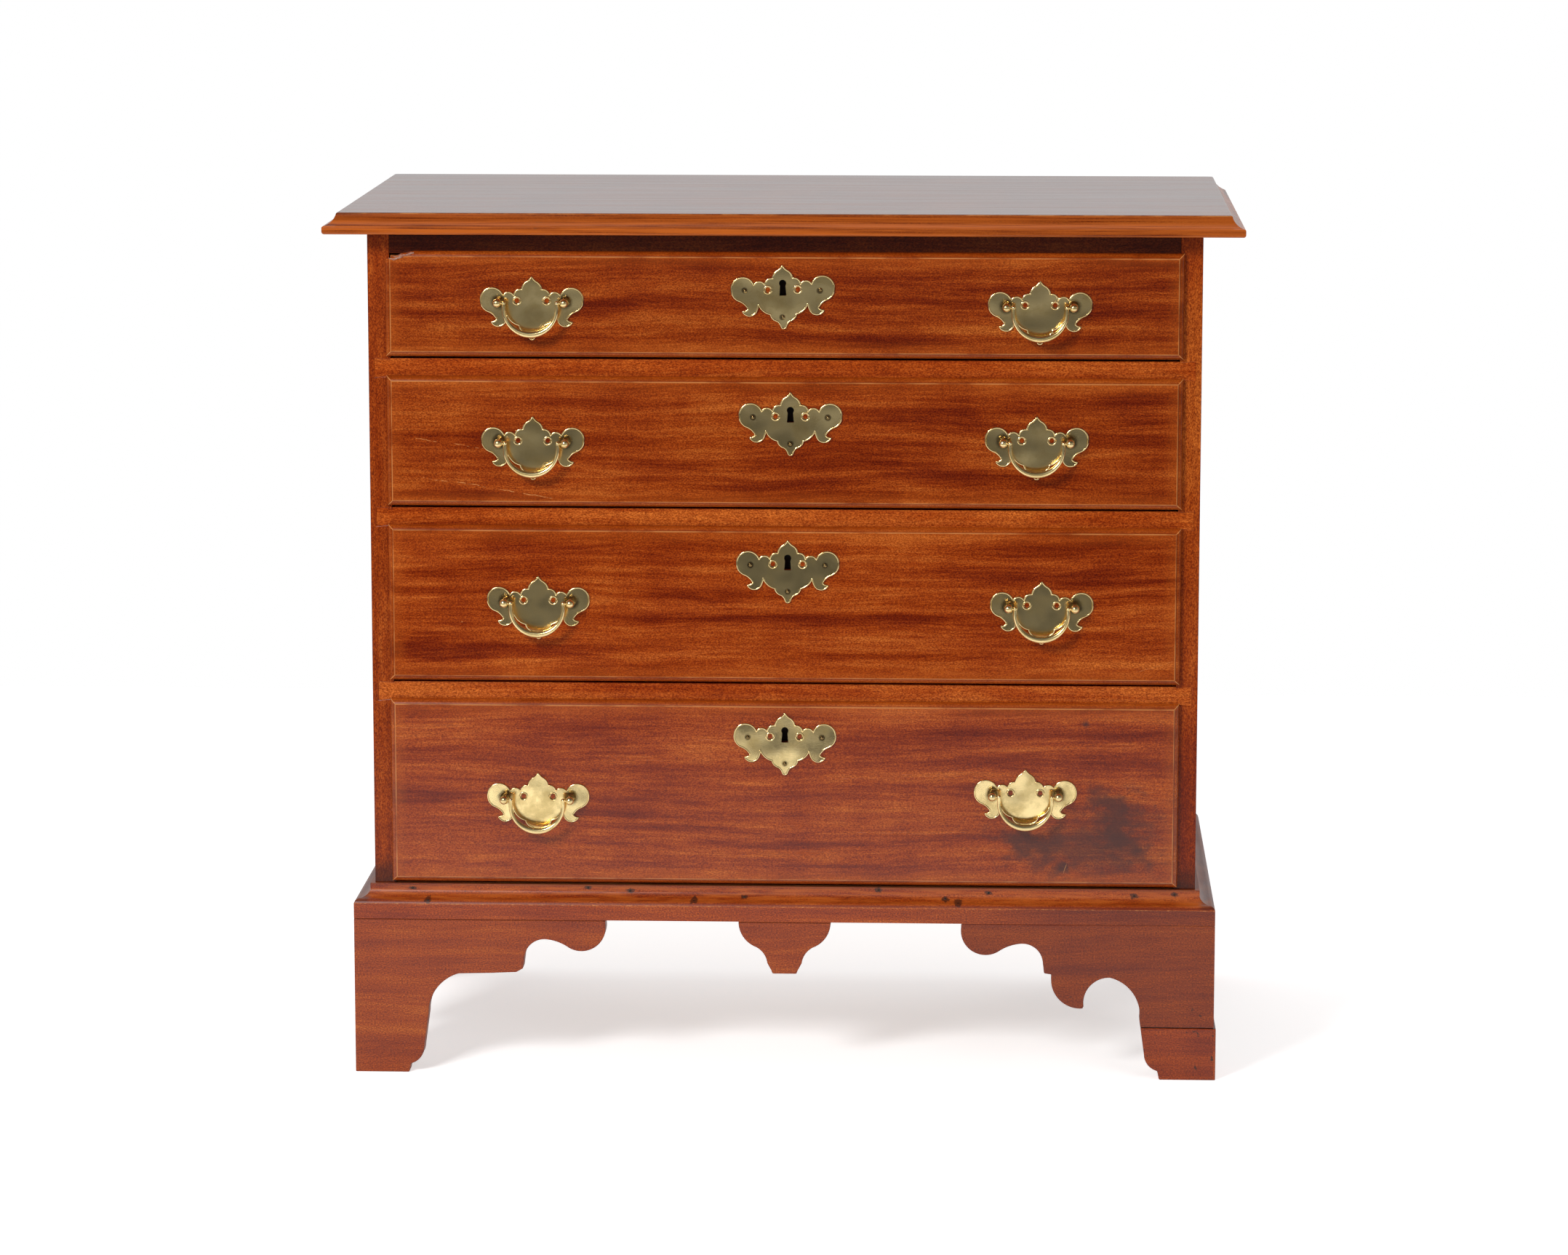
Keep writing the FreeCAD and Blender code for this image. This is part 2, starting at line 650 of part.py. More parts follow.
def rear_foot():
    """The right rear foot: a scrolled side bracket and a plain sloped bracket across the back."""
    x = BASE_HALF - FOOT_THICKNESS
    path = [(x, FOOT_HEIGHT), (x - REAR_BRACKET_LENGTH, FOOT_HEIGHT), (x - FOOT_PAD, 0.0)]
    back = prism((x, 0.0), path, on_front(BACK_Y - FOOT_THICKNESS), Vector(0, FOOT_THICKNESS, 0))
    return [side_bracket(True), back]


def apron_pendant():
    """The scrolled drop at the middle of the base."""
    outline = scroll(both_halves((0.0, 0.0), PENDANT_HALF))
    path = moved(outline, lambda x, z: (x + PENDANT_X, z))
    return prism((PENDANT_X, FOOT_HEIGHT), path, on_front(BASE_FRONT_Y), Vector(0, FOOT_THICKNESS, 0))


def foot_blocks():
    """A post block in each foot's corner, and glue blocks behind the front brackets and the pendant."""
    x = (BASE_HALF - FOOT_THICKNESS - CORNER_BLOCK, BASE_HALF - FOOT_THICKNESS)
    face = BASE_FRONT_Y + FOOT_THICKNESS
    rear = BACK_Y - FOOT_THICKNESS
    z = (CORNER_BLOCK_LIFT, FOOT_HEIGHT)
    glue_z = (FOOT_HEIGHT - GLUE_BLOCK, FOOT_HEIGHT)
    right = [
        block(x, (face, face + CORNER_BLOCK), z),
        block(x, (rear - CORNER_BLOCK, rear), z),
        block((x[0] - GLUE_BLOCK_LENGTH, x[0]), (face, face + GLUE_BLOCK), glue_z),
    ]
    middle = block((PENDANT_X - GLUE_BLOCK, PENDANT_X + GLUE_BLOCK), (face, face + GLUE_BLOCK), glue_z)
    return right + [mirrored(piece) for piece in right] + [middle]


def lip_edge():
    """The moulded edge of a drawer lip from its face to its back, as inset from the lip's edge and y."""
    start = (THUMB_WIDTH, FACE_Y)
    corner = (THUMB_WIDTH, FACE_Y + THUMB_FILLET)
    edge = (0.0, LIP_BACK_Y - THUMB_EDGE)
    return start, [corner, bow(corner, edge, THUMB_SWELL), (0.0, LIP_BACK_Y)]


def front_blank(opening):
    """A drawer front with its lip and moulded edges, before anything is cut in it."""
    start, lip = lip_edge()

    def at_right(inset, y):
        return LIP_HALF - inset, y

    def at_top(inset, y):
        return y, opening.lip_top - inset

    def at_bottom(inset, y):
        return y, opening.lip_bottom + inset

    right = [at_right(*start)] + moved(lip, at_right)
    right += [(BODY_HALF, LIP_BACK_Y), (BODY_HALF, BODY_BACK_Y), (0.0, BODY_BACK_Y)]
    rise = Vector(0, 0, opening.lip_top - opening.lip_bottom)
    across = prism((0.0, FACE_Y), both_halves((0.0, FACE_Y), right), on_plan(opening.lip_bottom), rise)

    up = [at_top(*start)] + moved(lip, at_top)
    up += [(LIP_BACK_Y, opening.body_top), (BODY_BACK_Y, opening.body_top), (BODY_BACK_Y, opening.lip_bottom)]
    up += [at_bottom(0.0, LIP_BACK_Y)] + moved(run_back(start, lip), at_bottom)
    upright = prism(at_bottom(*start), up, on_side(-LIP_HALF), Vector(2 * LIP_HALF, 0, 0))
    return across.common(upright)


def lip_chip(opening):
    """The splinter missing from the upper left corner of a lip."""
    corner = (-LIP_HALF, opening.lip_top)
    path = [
        (corner[0] + CHIP_LENGTH, corner[1]),
        (corner[0] + 0.55 * CHIP_LENGTH, corner[1] - 0.32 * CHIP_HEIGHT),
        (corner[0] + 0.3 * CHIP_LENGTH, corner[1] - 0.72 * CHIP_HEIGHT),
        (corner[0], corner[1] - CHIP_HEIGHT),
    ]
    return prism(corner, path, on_front(FACE_Y), Vector(0, LIP_THICKNESS, 0))


def groove_limits(opening):
    """The bottom and top of the groove that holds a drawer's bottom."""
    low = opening.floor + GROOVE_RISE
    return low, low + GROOVE_HEIGHT


def tail_count(low, high):
    """How many dovetails fit between two heights."""
    return max(2, round((high - low) / DOVETAIL_PITCH))


def drawer_side(opening):
    """The right drawer side, with tails for the front and the back and a groove for the bottom."""
    x = (BODY_HALF - DRAWER_SIDE, BODY_HALF)
    top = opening.body_top - DRAWER_SIDE_DROP
    push = Vector(DRAWER_SIDE, 0, 0)
    side = block(x, (BODY_BACK_Y, DRAWER_END_Y), (opening.floor, top))
    low = opening.lip_bottom
    for outline in tail_outlines(low, top, tail_count(low, top), BODY_BACK_Y, BODY_BACK_Y - DOVETAIL_LAP):
        side = side.fuse(prism(outline[0], outline[1:], on_side(x[0]), push))

    back_z = back_limits(opening)
    pins = block(x, (DRAWER_END_Y - DRAWER_BACK, DRAWER_END_Y), back_z)
    for outline in tail_outlines(*back_z, tail_count(*back_z), DRAWER_END_Y - DRAWER_BACK, DRAWER_END_Y):
        pins = pins.cut(prism(outline[0], outline[1:], on_side(x[0]), push))
    groove_y = (BODY_BACK_Y - GROOVE_DEPTH, DRAWER_END_Y)
    groove = block((x[0], x[0] + GROOVE_DEPTH), groove_y, groove_limits(opening))
    return side.removeSplitter().cut(pins).cut(groove)


def back_limits(opening):
    """The bottom and top of a drawer's back, which stands on the bottom panel."""
    return groove_limits(opening)[1], opening.body_top - DRAWER_SIDE_DROP - DRAWER_BACK_DROP


def drawer_back(opening, sides):
    """A drawer's back, pinned between the tails of the sides."""
    y = (DRAWER_END_Y - DRAWER_BACK, DRAWER_END_Y)
    return block((-BODY_HALF, BODY_HALF), y, back_limits(opening)).cut(sides)


def drawer_bottom(opening):
    """A drawer's bottom panel, bevelled underneath to fit the grooves of the front and the sides."""
    low, top = groove_limits(opening)
    edge = low + PANEL_CLEARANCE
    under = top - PANEL_THICKNESS
    half = BODY_HALF - DRAWER_SIDE + GROOVE_DEPTH - PANEL_CLEARANCE
    right = [(half, top), (half, edge), (half - GROOVE_DEPTH, edge)]
    right += [(half - PANEL_BEVEL, under), (0.0, under)]
    front = BODY_BACK_Y - GROOVE_DEPTH + PANEL_CLEARANCE
    run = Vector(0, DRAWER_END_Y - front, 0)
    across = prism((0.0, top), both_halves((0.0, top), right), on_front(front), run)
    path = [(front, edge), (front + GROOVE_DEPTH, edge), (front + PANEL_BEVEL, under), (DRAWER_END_Y, under),
            (DRAWER_END_Y, top)]
    return across.common(prism((front, top), path, on_side(-half), Vector(2 * half, 0, 0)))


def pull_peaks(opening, drawer):
    """The peaks of a drawer's two pull plates, as x and z."""
    middle = (opening.lip_bottom + opening.lip_top) / 2
    return [(x, middle + rise) for x, rise in (drawer.left_pull, drawer.right_pull)]


def escutcheon_peak(opening, drawer):
    """The peak of a drawer's escutcheon, as x and z."""
    x, drop = drawer.escutcheon
    return x, opening.lip_top - drop


# Right half of the brass plates' scrolled outline, from its peak down to its foot
PLATE_HALF = [
    ((1.8, -2.6), (4.2, -4.8)),
    ((8.4, -8.4), (9.9, -13.0)),
    ((15.0, -13.9), (17.8, -19.4)),
    ((24.0, -15.8), (28.9, -19.5)),
    ((41.5, -11.4), (51.3, -24.1)),
    ((49.6, -30.2), (44.5, -34.6)),
    ((38.5, -38.2), (35.1, -42.7)),
    ((37.2, -44.9), (40.6, -45.6)),
    ((34.5, -49.8), (26.6, -44.6)),
    ((25.4, -41.2), (24.7, -37.9)),
    ((20.6, -44.6), (12.7, -48.7)),
    (12.5, -50.2),
    ((10.4, -53.4), (6.1, -55.7)),
    ((3.6, -58.4), (2.2, -61.6)),
    ((1.4, -62.7), (0.0, -63.1)),
]


def brass_plate(peak, holes):
    """A scrolled plate with two countersunk eyelets, bored with holes."""
    x, z = peak
    path = moved(both_halves((0.0, 0.0), PLATE_HALF), lambda across, up: (x + across, z + up))
    plate = prism(peak, path, on_front(PLATE_FACE_Y), Vector(0, PLATE_THICKNESS, 0))
    for side in (-EYELET_X, EYELET_X):
        seat = Vector(x + side, PLATE_FACE_Y, z - EYELET_DROP)
        plate = plate.cut(rod(EYELET_RADIUS, seat, seat + Vector(0, PLATE_THICKNESS, 0)))
        rim = Part.makeCone(EYELET_RIM_RADIUS, EYELET_RADIUS, EYELET_RIM_DEPTH, seat, Vector(0, 1, 0))
        plate = plate.cut(rim)
    return plate.cut(Part.makeCompound(holes))


def post_places(peak):
    """The two posts of a pull, as side, x and z."""
    return [(side, peak[0] + side * POST_X, peak[1] - POST_DROP) for side in (-1, 1)]


def post_hole(x, z, start, end):
    """A hole for a post's shank between two depths."""
    return rod(POST_SHANK_RADIUS + POST_HOLE_CLEARANCE, Vector(x, start, z), Vector(x, end, z))


def pull_plate(peak):
    """The plate behind a bail."""
    return brass_plate(peak, [post_hole(x, z, PLATE_FACE_Y, FACE_Y) for side, x, z in post_places(peak)])


def pull_post(side, x, z):
    """A turned post with a shank through the front, and a ball bored for the bail's pin."""
    seat = Vector(x, PLATE_FACE_Y, z)
    ball = Vector(x, PIVOT_Y, z)
    shank_end = Vector(x, BODY_BACK_Y + NUT_THICKNESS + SHANK_END, z)
    flange = Part.makeCone(POST_FLANGE_RADIUS, POST_NECK_RADIUS, POST_FLANGE_HEIGHT, seat, Vector(0, -1, 0))
    post = rod(POST_SHANK_RADIUS, seat, shank_end).fuse(flange)
    post = post.fuse(rod(POST_NECK_RADIUS, seat, ball)).fuse(Part.makeSphere(POST_BALL_RADIUS, ball))
    mouth = Vector(x - side * 2 * POST_BALL_RADIUS, PIVOT_Y, z)
    return post.cut(rod(BAIL_PIN_RADIUS + BAIL_PIN_CLEARANCE, mouth, ball)).removeSplitter()


def post_nut(x, z):
    """The square nut that draws a post tight from inside the drawer."""
    half = NUT_SIZE / 2
    y = (BODY_BACK_Y, BODY_BACK_Y + NUT_THICKNESS)
    return block((x - half, x + half), y, (z - half, z + half)).cut(post_hole(x, z, *y))


def bail_section(x, z, slope, height, depth):
    """An oval section of a bail, square to its run and drawn round from its back."""
    middle = Vector(x, PIVOT_Y, z)
    across = Vector(-slope[1], 0, slope[0])
    across.normalize()
    back = middle + Vector(0, depth / 2, 0)
    side = middle + across * (height / 2)
    reach = (back.distanceToPoint(middle), side.distanceToPoint(middle))
    oval = Part.Ellipse(middle, max(reach), min(reach))
    across = (side - middle).normalize()
    oval.Axis = Vector(0, 1, 0).cross(across)
    deep = reach[0] >= reach[1]
    oval.XAxis = Vector(0, 1, 0) if deep else across
    start = 0.0 if deep else -math.pi / 2
    return Part.Wire(oval.toShape(start, start + 2 * math.pi))


def bail(peak):
    """A bail that hangs from its pins, thin in the arms and swelled at the grip."""
    x, z = peak[0], peak[1] - POST_DROP
    arm = (BAIL_ARM_WIDTH, BAIL_ARM_DEPTH)
    sections = [bail_section(x + BAIL_ARM_X, z, (0, -1), *arm)]
    for index in range(BAIL_SECTIONS + 1):
        angle = math.pi * index / BAIL_SECTIONS
        swell = math.sin(angle) ** 3
        drop = BAIL_DROP - BAIL_LEG
        place = (x + BAIL_ARM_X * math.cos(angle), z - BAIL_LEG - drop * math.sin(angle))
        slope = (-BAIL_ARM_X * math.sin(angle), -drop * math.cos(angle))
        height = BAIL_ARM_WIDTH + (BAIL_GRIP_HEIGHT - BAIL_ARM_WIDTH) * swell
        depth = BAIL_ARM_DEPTH + (BAIL_GRIP_DEPTH - BAIL_ARM_DEPTH) * swell
        sections.append(bail_section(*place, slope, height, depth))
    sections.append(bail_section(x - BAIL_ARM_X, z, (0, 1), *arm))
    loop = Part.makeLoft(sections, True, False)
    for side in (-1, 1):
        knuckle = Vector(x + side * BAIL_ARM_X, PIVOT_Y, z)
        end = Vector(x + side * (POST_X - BAIL_PIN_END_GAP), PIVOT_Y, z)
        loop = loop.fuse(Part.makeSphere(BAIL_KNUCKLE_RADIUS, knuckle))
        loop = loop.fuse(rod(BAIL_PIN_RADIUS, knuckle, end))
    return loop.removeSplitter()


def keyhole(peak, slack, start, end):
    """A keyhole between two depths: a round over a slot that widens downwards."""
    radius = KEYHOLE_RADIUS + slack
    neck = KEYHOLE_NECK / 2 + slack
    foot = KEYHOLE_FOOT / 2 + slack
    low = -KEYHOLE_FOOT_DROP - slack
    top = (0.0, radius - KEYHOLE_DROP)
    half = [
        ((radius, -KEYHOLE_DROP), (neck, -KEYHOLE_DROP - math.sqrt(radius ** 2 - neck ** 2))),
        (foot, low),
        (0.0, low),
    ]
    path = moved(both_halves(top, half), lambda across, up: (peak[0] + across, peak[1] + up))
    return prism((peak[0], peak[1] + top[1]), path, on_front(start), Vector(0, end - start, 0))


def pin_places(peak):
    """The three pins of an escutcheon, as x and z."""
    x, z = peak
    ears = [(x + side * ESCUTCHEON_PIN_X, z - ESCUTCHEON_PIN_DROP) for side in (-1, 1)]
    return ears + [(x, z - ESCUTCHEON_FOOT_PIN_DROP)]


def pin_hole(x, z):
    """The hole of an escutcheon pin."""
    radius = ESCUTCHEON_PIN_RADIUS + NAIL_CLEARANCE
    return rod(radius, Vector(x, PLATE_FACE_Y, z), Vector(x, PLATE_FACE_Y + ESCUTCHEON_PIN_LENGTH, z))


def escutcheon_pin(x, z):
    """A round-headed brass pin."""
    seat = Vector(x, PLATE_FACE_Y, z)
    shank = rod(ESCUTCHEON_PIN_RADIUS, seat, seat + Vector(0, ESCUTCHEON_PIN_LENGTH, 0))
    dome = Part.makeSphere(ESCUTCHEON_PIN_HEAD, seat, Vector(0, -1, 0), 0, 90, 360)
    return shank.fuse(dome)


def tilted(shape, peak, drawer):
    """A piece of an escutcheon, turned with it about its keyhole."""
    turned = shape.copy()
    turned.rotate(Vector(peak[0], 0, peak[1] - KEYHOLE_DROP), Vector(0, 1, 0), drawer.tilt)
    return turned


def escutcheon(opening, drawer):
    """The keyhole plate and its three pins."""
    peak = escutcheon_peak(opening, drawer)
    holes = [pin_hole(*place) for place in pin_places(peak)] + [keyhole(peak, 0.0, PLATE_FACE_Y, FACE_Y)]
    pieces = [brass_plate(peak, holes)] + [escutcheon_pin(*place) for place in pin_places(peak)]
    return [tilted(piece, peak, drawer) for piece in pieces]


def lock_body(opening, drawer):
    """The outer form of a lock: a case behind the keyhole, a back plate and a top plate."""
    x = drawer.escutcheon[0]
    low = escutcheon_peak(opening, drawer)[1] - KEYHOLE_FOOT_DROP - LOCK_FOOT
    front = BODY_BACK_Y - LOCK_DEPTH
    plate_y = BODY_BACK_Y - LOCK_PLATE
    wide = (x - LOCK_WIDTH / 2, x + LOCK_WIDTH / 2)
    narrow = (x - LOCK_CASE_WIDTH / 2, x + LOCK_CASE_WIDTH / 2)
    case = block(narrow, (front, plate_y), (low, opening.body_top - LOCK_PLATE))
    plate = block(wide, (plate_y, BODY_BACK_Y), (low, opening.body_top))
    selvage = block(wide, (front, BODY_BACK_Y), (opening.body_top - LOCK_PLATE, opening.body_top))
    return case.fuse([plate, selvage]).removeSplitter()


def lock(opening, drawer):
    """The iron lock, with a chamber that guides the bolt and one under it for the key."""
    x, peak_z = escutcheon_peak(opening, drawer)
    y = (BODY_BACK_Y - LOCK_DEPTH + LOCK_WALL, BODY_BACK_Y - LOCK_PLATE)
    reach = BOLT_WIDTH / 2 + BOLT_CLEARANCE
    key_z = peak_z - KEYHOLE_DROP
    bolt_foot = opening.body_top - BOLT_HEIGHT
    bolt_room = block((x - reach, x + reach), y, (bolt_foot, opening.body_top))
    key_room = rod(KEY_CHAMBER_RADIUS, Vector(x, y[0], key_z), Vector(x, y[1], key_z))
    talon = KEY_CHAMBER_RADIUS / 2
    talon_room = block((x - talon, x + talon), y, (key_z, bolt_foot))
    eye = keyhole((x, peak_z), KEYHOLE_WOOD_SLACK, BODY_BACK_Y - LOCK_DEPTH, y[1])
    return lock_body(opening, drawer).cut(bolt_room).cut(key_room).cut(talon_room).cut(eye)


def lock_bolt(opening, drawer):
    """The bolt, which the key lifts into the rail over the drawer."""
    x = drawer.escutcheon[0]
    z = (opening.body_top - BOLT_HEIGHT, opening.body_top)
    return block((x - BOLT_WIDTH / 2, x + BOLT_WIDTH / 2), bolt_limits(), z)


def drawer_front(opening, drawer, sides):
    """A drawer front, cut for its sides, bottom, lock, keyhole, posts and pins."""
    peak = escutcheon_peak(opening, drawer)
    groove_x = BODY_HALF - DRAWER_SIDE + GROOVE_DEPTH
    groove = block((-groove_x, groove_x), (BODY_BACK_Y - GROOVE_DEPTH, BODY_BACK_Y), groove_limits(opening))
    cuts = [groove, lock_body(opening, drawer), keyhole(peak, KEYHOLE_WOOD_SLACK, FACE_Y, BODY_BACK_Y)]
    cuts += [tilted(pin_hole(*place), peak, drawer) for place in pin_places(peak)]
    for pull in pull_peaks(opening, drawer):
        cuts += [post_hole(x, z, FACE_Y, BODY_BACK_Y) for side, x, z in post_places(pull)]
    front = front_blank(opening).cut(sides)
    for cut in cuts:
        front = front.cut(cut)
    return front


def drawer_nodes(number, opening, drawer):
    """Every piece of one drawer, by name."""
    right = drawer_side(opening)
    sides = [right, mirrored(right)]
    peaks = pull_peaks(opening, drawer)
    posts = [place for peak in peaks for place in post_places(peak)]
    front = drawer_front(opening, drawer, sides)
    if number == 1:
        front = front.cut(lip_chip(opening))
    pieces = {
        "front": [front],
        "sides": sides,
        "back": [drawer_back(opening, sides)],
        "bottom": [drawer_bottom(opening)],
        "pull_plates": [pull_plate(peak) for peak in peaks],
        "pull_posts": [pull_post(*post) for post in posts] + [post_nut(x, z) for side, x, z in posts],
        "left_bail": [bail(peaks[0])],
        "right_bail": [bail(peaks[1])],
        "escutcheon": escutcheon(opening, drawer),
        "lock": [lock(opening, drawer)],
        "lock_bolt": [lock_bolt(opening, drawer)],
    }
    return {f"drawer_{number}_{name}": solids for name, solids in pieces.items()}


def case_nodes():
    """Every piece of the case and its base, by name."""
    blades = drawer_blades()
    rails = top_rails()
    bottom = bottom_board()
    let_in = blades + rails + [bottom]
    return {
        "top_board": [top_board()],
        "left_side": [case_side(-1, let_in)],
        "right_side": [case_side(1, let_in)],
        "bottom_board": [bottom],
        "top_rails": rails,
        "drawer_blades": blades,
        "drawer_runners": drawer_runners(),
        "back_boards": back_boards(),
        "base_moulding": base_moulding(),
        "front_left_foot": [mirrored(piece) for piece in front_foot(BROKEN_ARCH)],
        "front_right_foot": spliced_front_foot(),
        "rear_left_foot": [mirrored(piece) for piece in rear_foot()],
        "rear_right_foot": rear_foot(),
        "foot_blocks": foot_blocks(),
        "apron_pendant": [apron_pendant()],
        "case_fasteners": case_fasteners(),
    }


def main():
    """Writes every piece to its own file."""
    os.makedirs("parts", exist_ok=True)
    nodes = case_nodes()
    for number, (opening, drawer) in enumerate(zip(OPENINGS, DRAWERS), start=1):
        nodes.update(drawer_nodes(number, opening, drawer))
    for name, solids in nodes.items():
        shape = solids[0] if len(solids) == 1 else Part.makeCompound(solids)
        shape.exportStep(os.path.join("parts", f"{name}.step"))


if __name__ == "__main__":
    main()
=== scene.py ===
"""Looks of a mahogany chest of drawers: figured, worn varnish, aged brass and bare secondary wood.

Metres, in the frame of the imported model: +X to the chest's right seen from the front, +Y to its
back and +Z up.
"""
import math
import random
from collections import Counter, defaultdict, namedtuple

import bpy
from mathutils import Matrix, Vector


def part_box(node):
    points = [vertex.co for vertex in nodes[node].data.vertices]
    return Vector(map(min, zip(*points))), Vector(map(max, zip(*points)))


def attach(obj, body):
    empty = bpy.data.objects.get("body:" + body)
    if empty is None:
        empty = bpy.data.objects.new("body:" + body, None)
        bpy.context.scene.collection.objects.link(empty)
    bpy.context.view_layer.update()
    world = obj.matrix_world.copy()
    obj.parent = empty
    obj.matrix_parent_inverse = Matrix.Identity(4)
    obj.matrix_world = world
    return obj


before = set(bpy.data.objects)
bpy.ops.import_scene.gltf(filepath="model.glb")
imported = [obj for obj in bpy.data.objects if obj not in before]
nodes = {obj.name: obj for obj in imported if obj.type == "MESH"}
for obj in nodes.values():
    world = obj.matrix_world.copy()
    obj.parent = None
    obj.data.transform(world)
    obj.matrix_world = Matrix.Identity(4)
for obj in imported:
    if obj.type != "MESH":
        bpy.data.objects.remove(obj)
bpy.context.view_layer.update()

MM = 0.001
DRAWER_COUNT = 4
BACK_BOARD_COUNT = 4

# Wood tones, from the dark streaks to the worn arrises with their painted highlights
MAHOGANY_DARK = (0.140, 0.0110, 0.0005)
MAHOGANY_RED = (0.220, 0.0240, 0.0010)
MAHOGANY_MID = (0.315, 0.0460, 0.0030)
MAHOGANY_GOLD = (0.480, 0.1060, 0.0120)
MAHOGANY_WEAR_AND_HIGHLIGHT = (0.640, 0.2600, 0.0750)
MAHOGANY_TONES = ((0.36, MAHOGANY_DARK), (0.45, MAHOGANY_RED), (0.53, MAHOGANY_MID), (0.66, MAHOGANY_GOLD))
PORES = ((0.30, (0.50, 0.38, 0.28)), (0.50, (1.0, 1.0, 1.0)), (0.70, (1.6, 2.0, 2.4)))
GRIME = (0.030, 0.0085, 0.0050)
STAIN = (0.058, 0.0160, 0.0120)
RAW_WOOD = (0.520, 0.3300, 0.2500)
PINE_DARK = (0.200, 0.0720, 0.0220)
PINE_MID = (0.430, 0.1950, 0.0700)
PINE_PALE = (0.620, 0.3450, 0.1420)
PINE_KNOT = (0.095, 0.0330, 0.0120)

# Figure of the mahogany: how often each part of it turns in a metre along, across and through a board
SWAY_TURNS = (2.4, 10.0, 10.0)
STREAK_TURNS = (3.6, 66.0, 66.0)
RIBBON_TURNS = (17.0, 7.0, 7.0)
FIBRE_TURNS = (26.0, 470.0, 470.0)
PORE_TURNS = (560.0, 980.0, 980.0)
SWAY = 36 * MM
STREAK_SHARE = 0.56
RIBBON_SHARE = 0.18
FIBRE_SHARE = 0.26
NOISE_MEAN = 0.5
BAND_FRAY = 2.2
GLOSS_STREAKS = (0.3, 0.7)
FIBRE_BUMP = 0.1
FIBRE_RELIEF = 0.2 * MM

# How far the figure of each back board is moved on from that of the board under it
BOARD_SHIFT_ALONG = 3.7
BOARD_SHIFT_THROUGH = 1.9

# Wear of the base, with painted shade in its quirk and a painted highlight along its arris. A fade is where
# it starts and ends, and how strong it is at its start and at its end
COVE_TURNS = (30.0, 30.0, 500.0)
COVE_RISE = (1 * MM, 5 * MM)
COVE_WEAR = (0.38, 0.68, 0.0, 0.8)
FASCIA_SHADE_RUN = (0.05, 0.35)
FASCIA_EDGE = (1 * MM, -1 * MM)
FASCIA_SHADE = (0.72, 0.72, 0.72)
BASE_QUIRK_HEIGHT = 1.6 * MM
BASE_QUIRK_SHADE = (0.2 * MM, 0.0, 0.6)
BASE_ARRIS = (0.7 * MM, 0.1 * MM)
CHIP_TURNS = (260.0, 260.0, 260.0)
BASE_CHIPS_AND_HIGHLIGHT = (0.48, 0.72, 0.12, 0.8)
BLOT_TURNS = 260.0
BLOT_SWING = 6 * MM
NAIL_STAIN = (4.2, 2.5, 0.8)
NAIL_STAIN_CORE = 0.7
RETURN_START = 18 * MM
RETURN_END = 11 * MM
RETURN_RISE = 2 * MM
RETURN_GRIME = 0.5
LEDGE_REACH = 4 * MM
LEDGE_DARKENING = 0.8

# Wear of the top and a painted highlight along its arris, by drops from its face: where the wax ends, the
# moulded edge starts and the cove lies
TOP_DENT_TURNS = (60.0, 110.0, 60.0)
TOP_DENTS = (0.70, 0.74, 0.0, 0.8)
WAX_END = 0.3 * MM
EDGE_START = 1.2 * MM
EDGE_TURNS = (6.0, 6.0, 620.0)
EDGE_WEAR = (0.27, 0.62)
NOSE_TOP = 10 * MM
COVE_FOOT = 7 * MM
COVE_GOLD = 0.7
TOP_ARRIS_DROP = 0.7 * MM
TOP_ARRIS_CORE = 0.1 * MM
TOP_CHIP_TURNS = (35.0, 35.0, 35.0)
TOP_CHIPS_AND_HIGHLIGHT = (0.45, 0.65, 0.1, 0.6)

# Grime on the sides over the base, in the seam over a foot, and round the splice in the right foot
SIDE_RAGGED = 12 * MM
SIDE_GRIME_TOP = 32 * MM
SIDE_GRIME_FULL = 2 * MM
SIDE_GRIME = 0.75
SEAM_START = 1.6 * MM
SEAM_FULL = 0.9 * MM
SEAM_GRIME = 0.45
SPLICE_TINT = (1.3, 1.25, 1.0)
FOOT_DENT_TURNS = (150.0, 150.0, 190.0)
FOOT_DENTS = (0.72, 0.77)
DENTS_OVER = 60 * MM
DENTS_UNDER = 10 * MM
DENT_DEPTHS = (0.2, 0.9)
CRACK_RAGGED = 0.6 * MM
CRACK = (1.0 * MM, 0.3 * MM, 0.0, 0.9)

# Figure of the pine, its knots, and the seams between the back boards
PINE_TONES = ((0.38, PINE_DARK), (0.5, PINE_MID), (0.62, PINE_PALE))
KNOT_TURNS = (3.0, 7.0, 7.0)
KNOT_PARTING = (0.5, 0.05, 0.0, 22 * MM)
KNOT_CORE = (0.11, 0.06, 0.0, 0.9)
GROWTH_TURNS = (1.3, 95.0, 95.0)
PINE_FIBRE_TURNS = (22.0, 800.0, 800.0)
SAW_TURNS = (420.0, 9.0, 9.0)
GROWTH_SHARE = 0.62
PINE_FIBRE_SHARE = 0.30
SAW_SHARE = 0.05
PINE_GRIME_TURNS = (5.0, 5.0, 5.0)
PINE_GRIME = (0.45, 0.75, 0.0, 0.55)
PINE_ROUGHNESS = 0.72
PINE_BUMP = 0.4
PINE_RELIEF = 0.5 * MM
BOARD_DIRT_TURNS = (9.0, 9.0, 60.0)
BOARD_DIRT_REACH = 0.08
BOARD_SEAM = 1.4 * MM
BOARD_SEAM_CORE = 0.6 * MM
BOARD_SEAM_DEPTH = 0.9
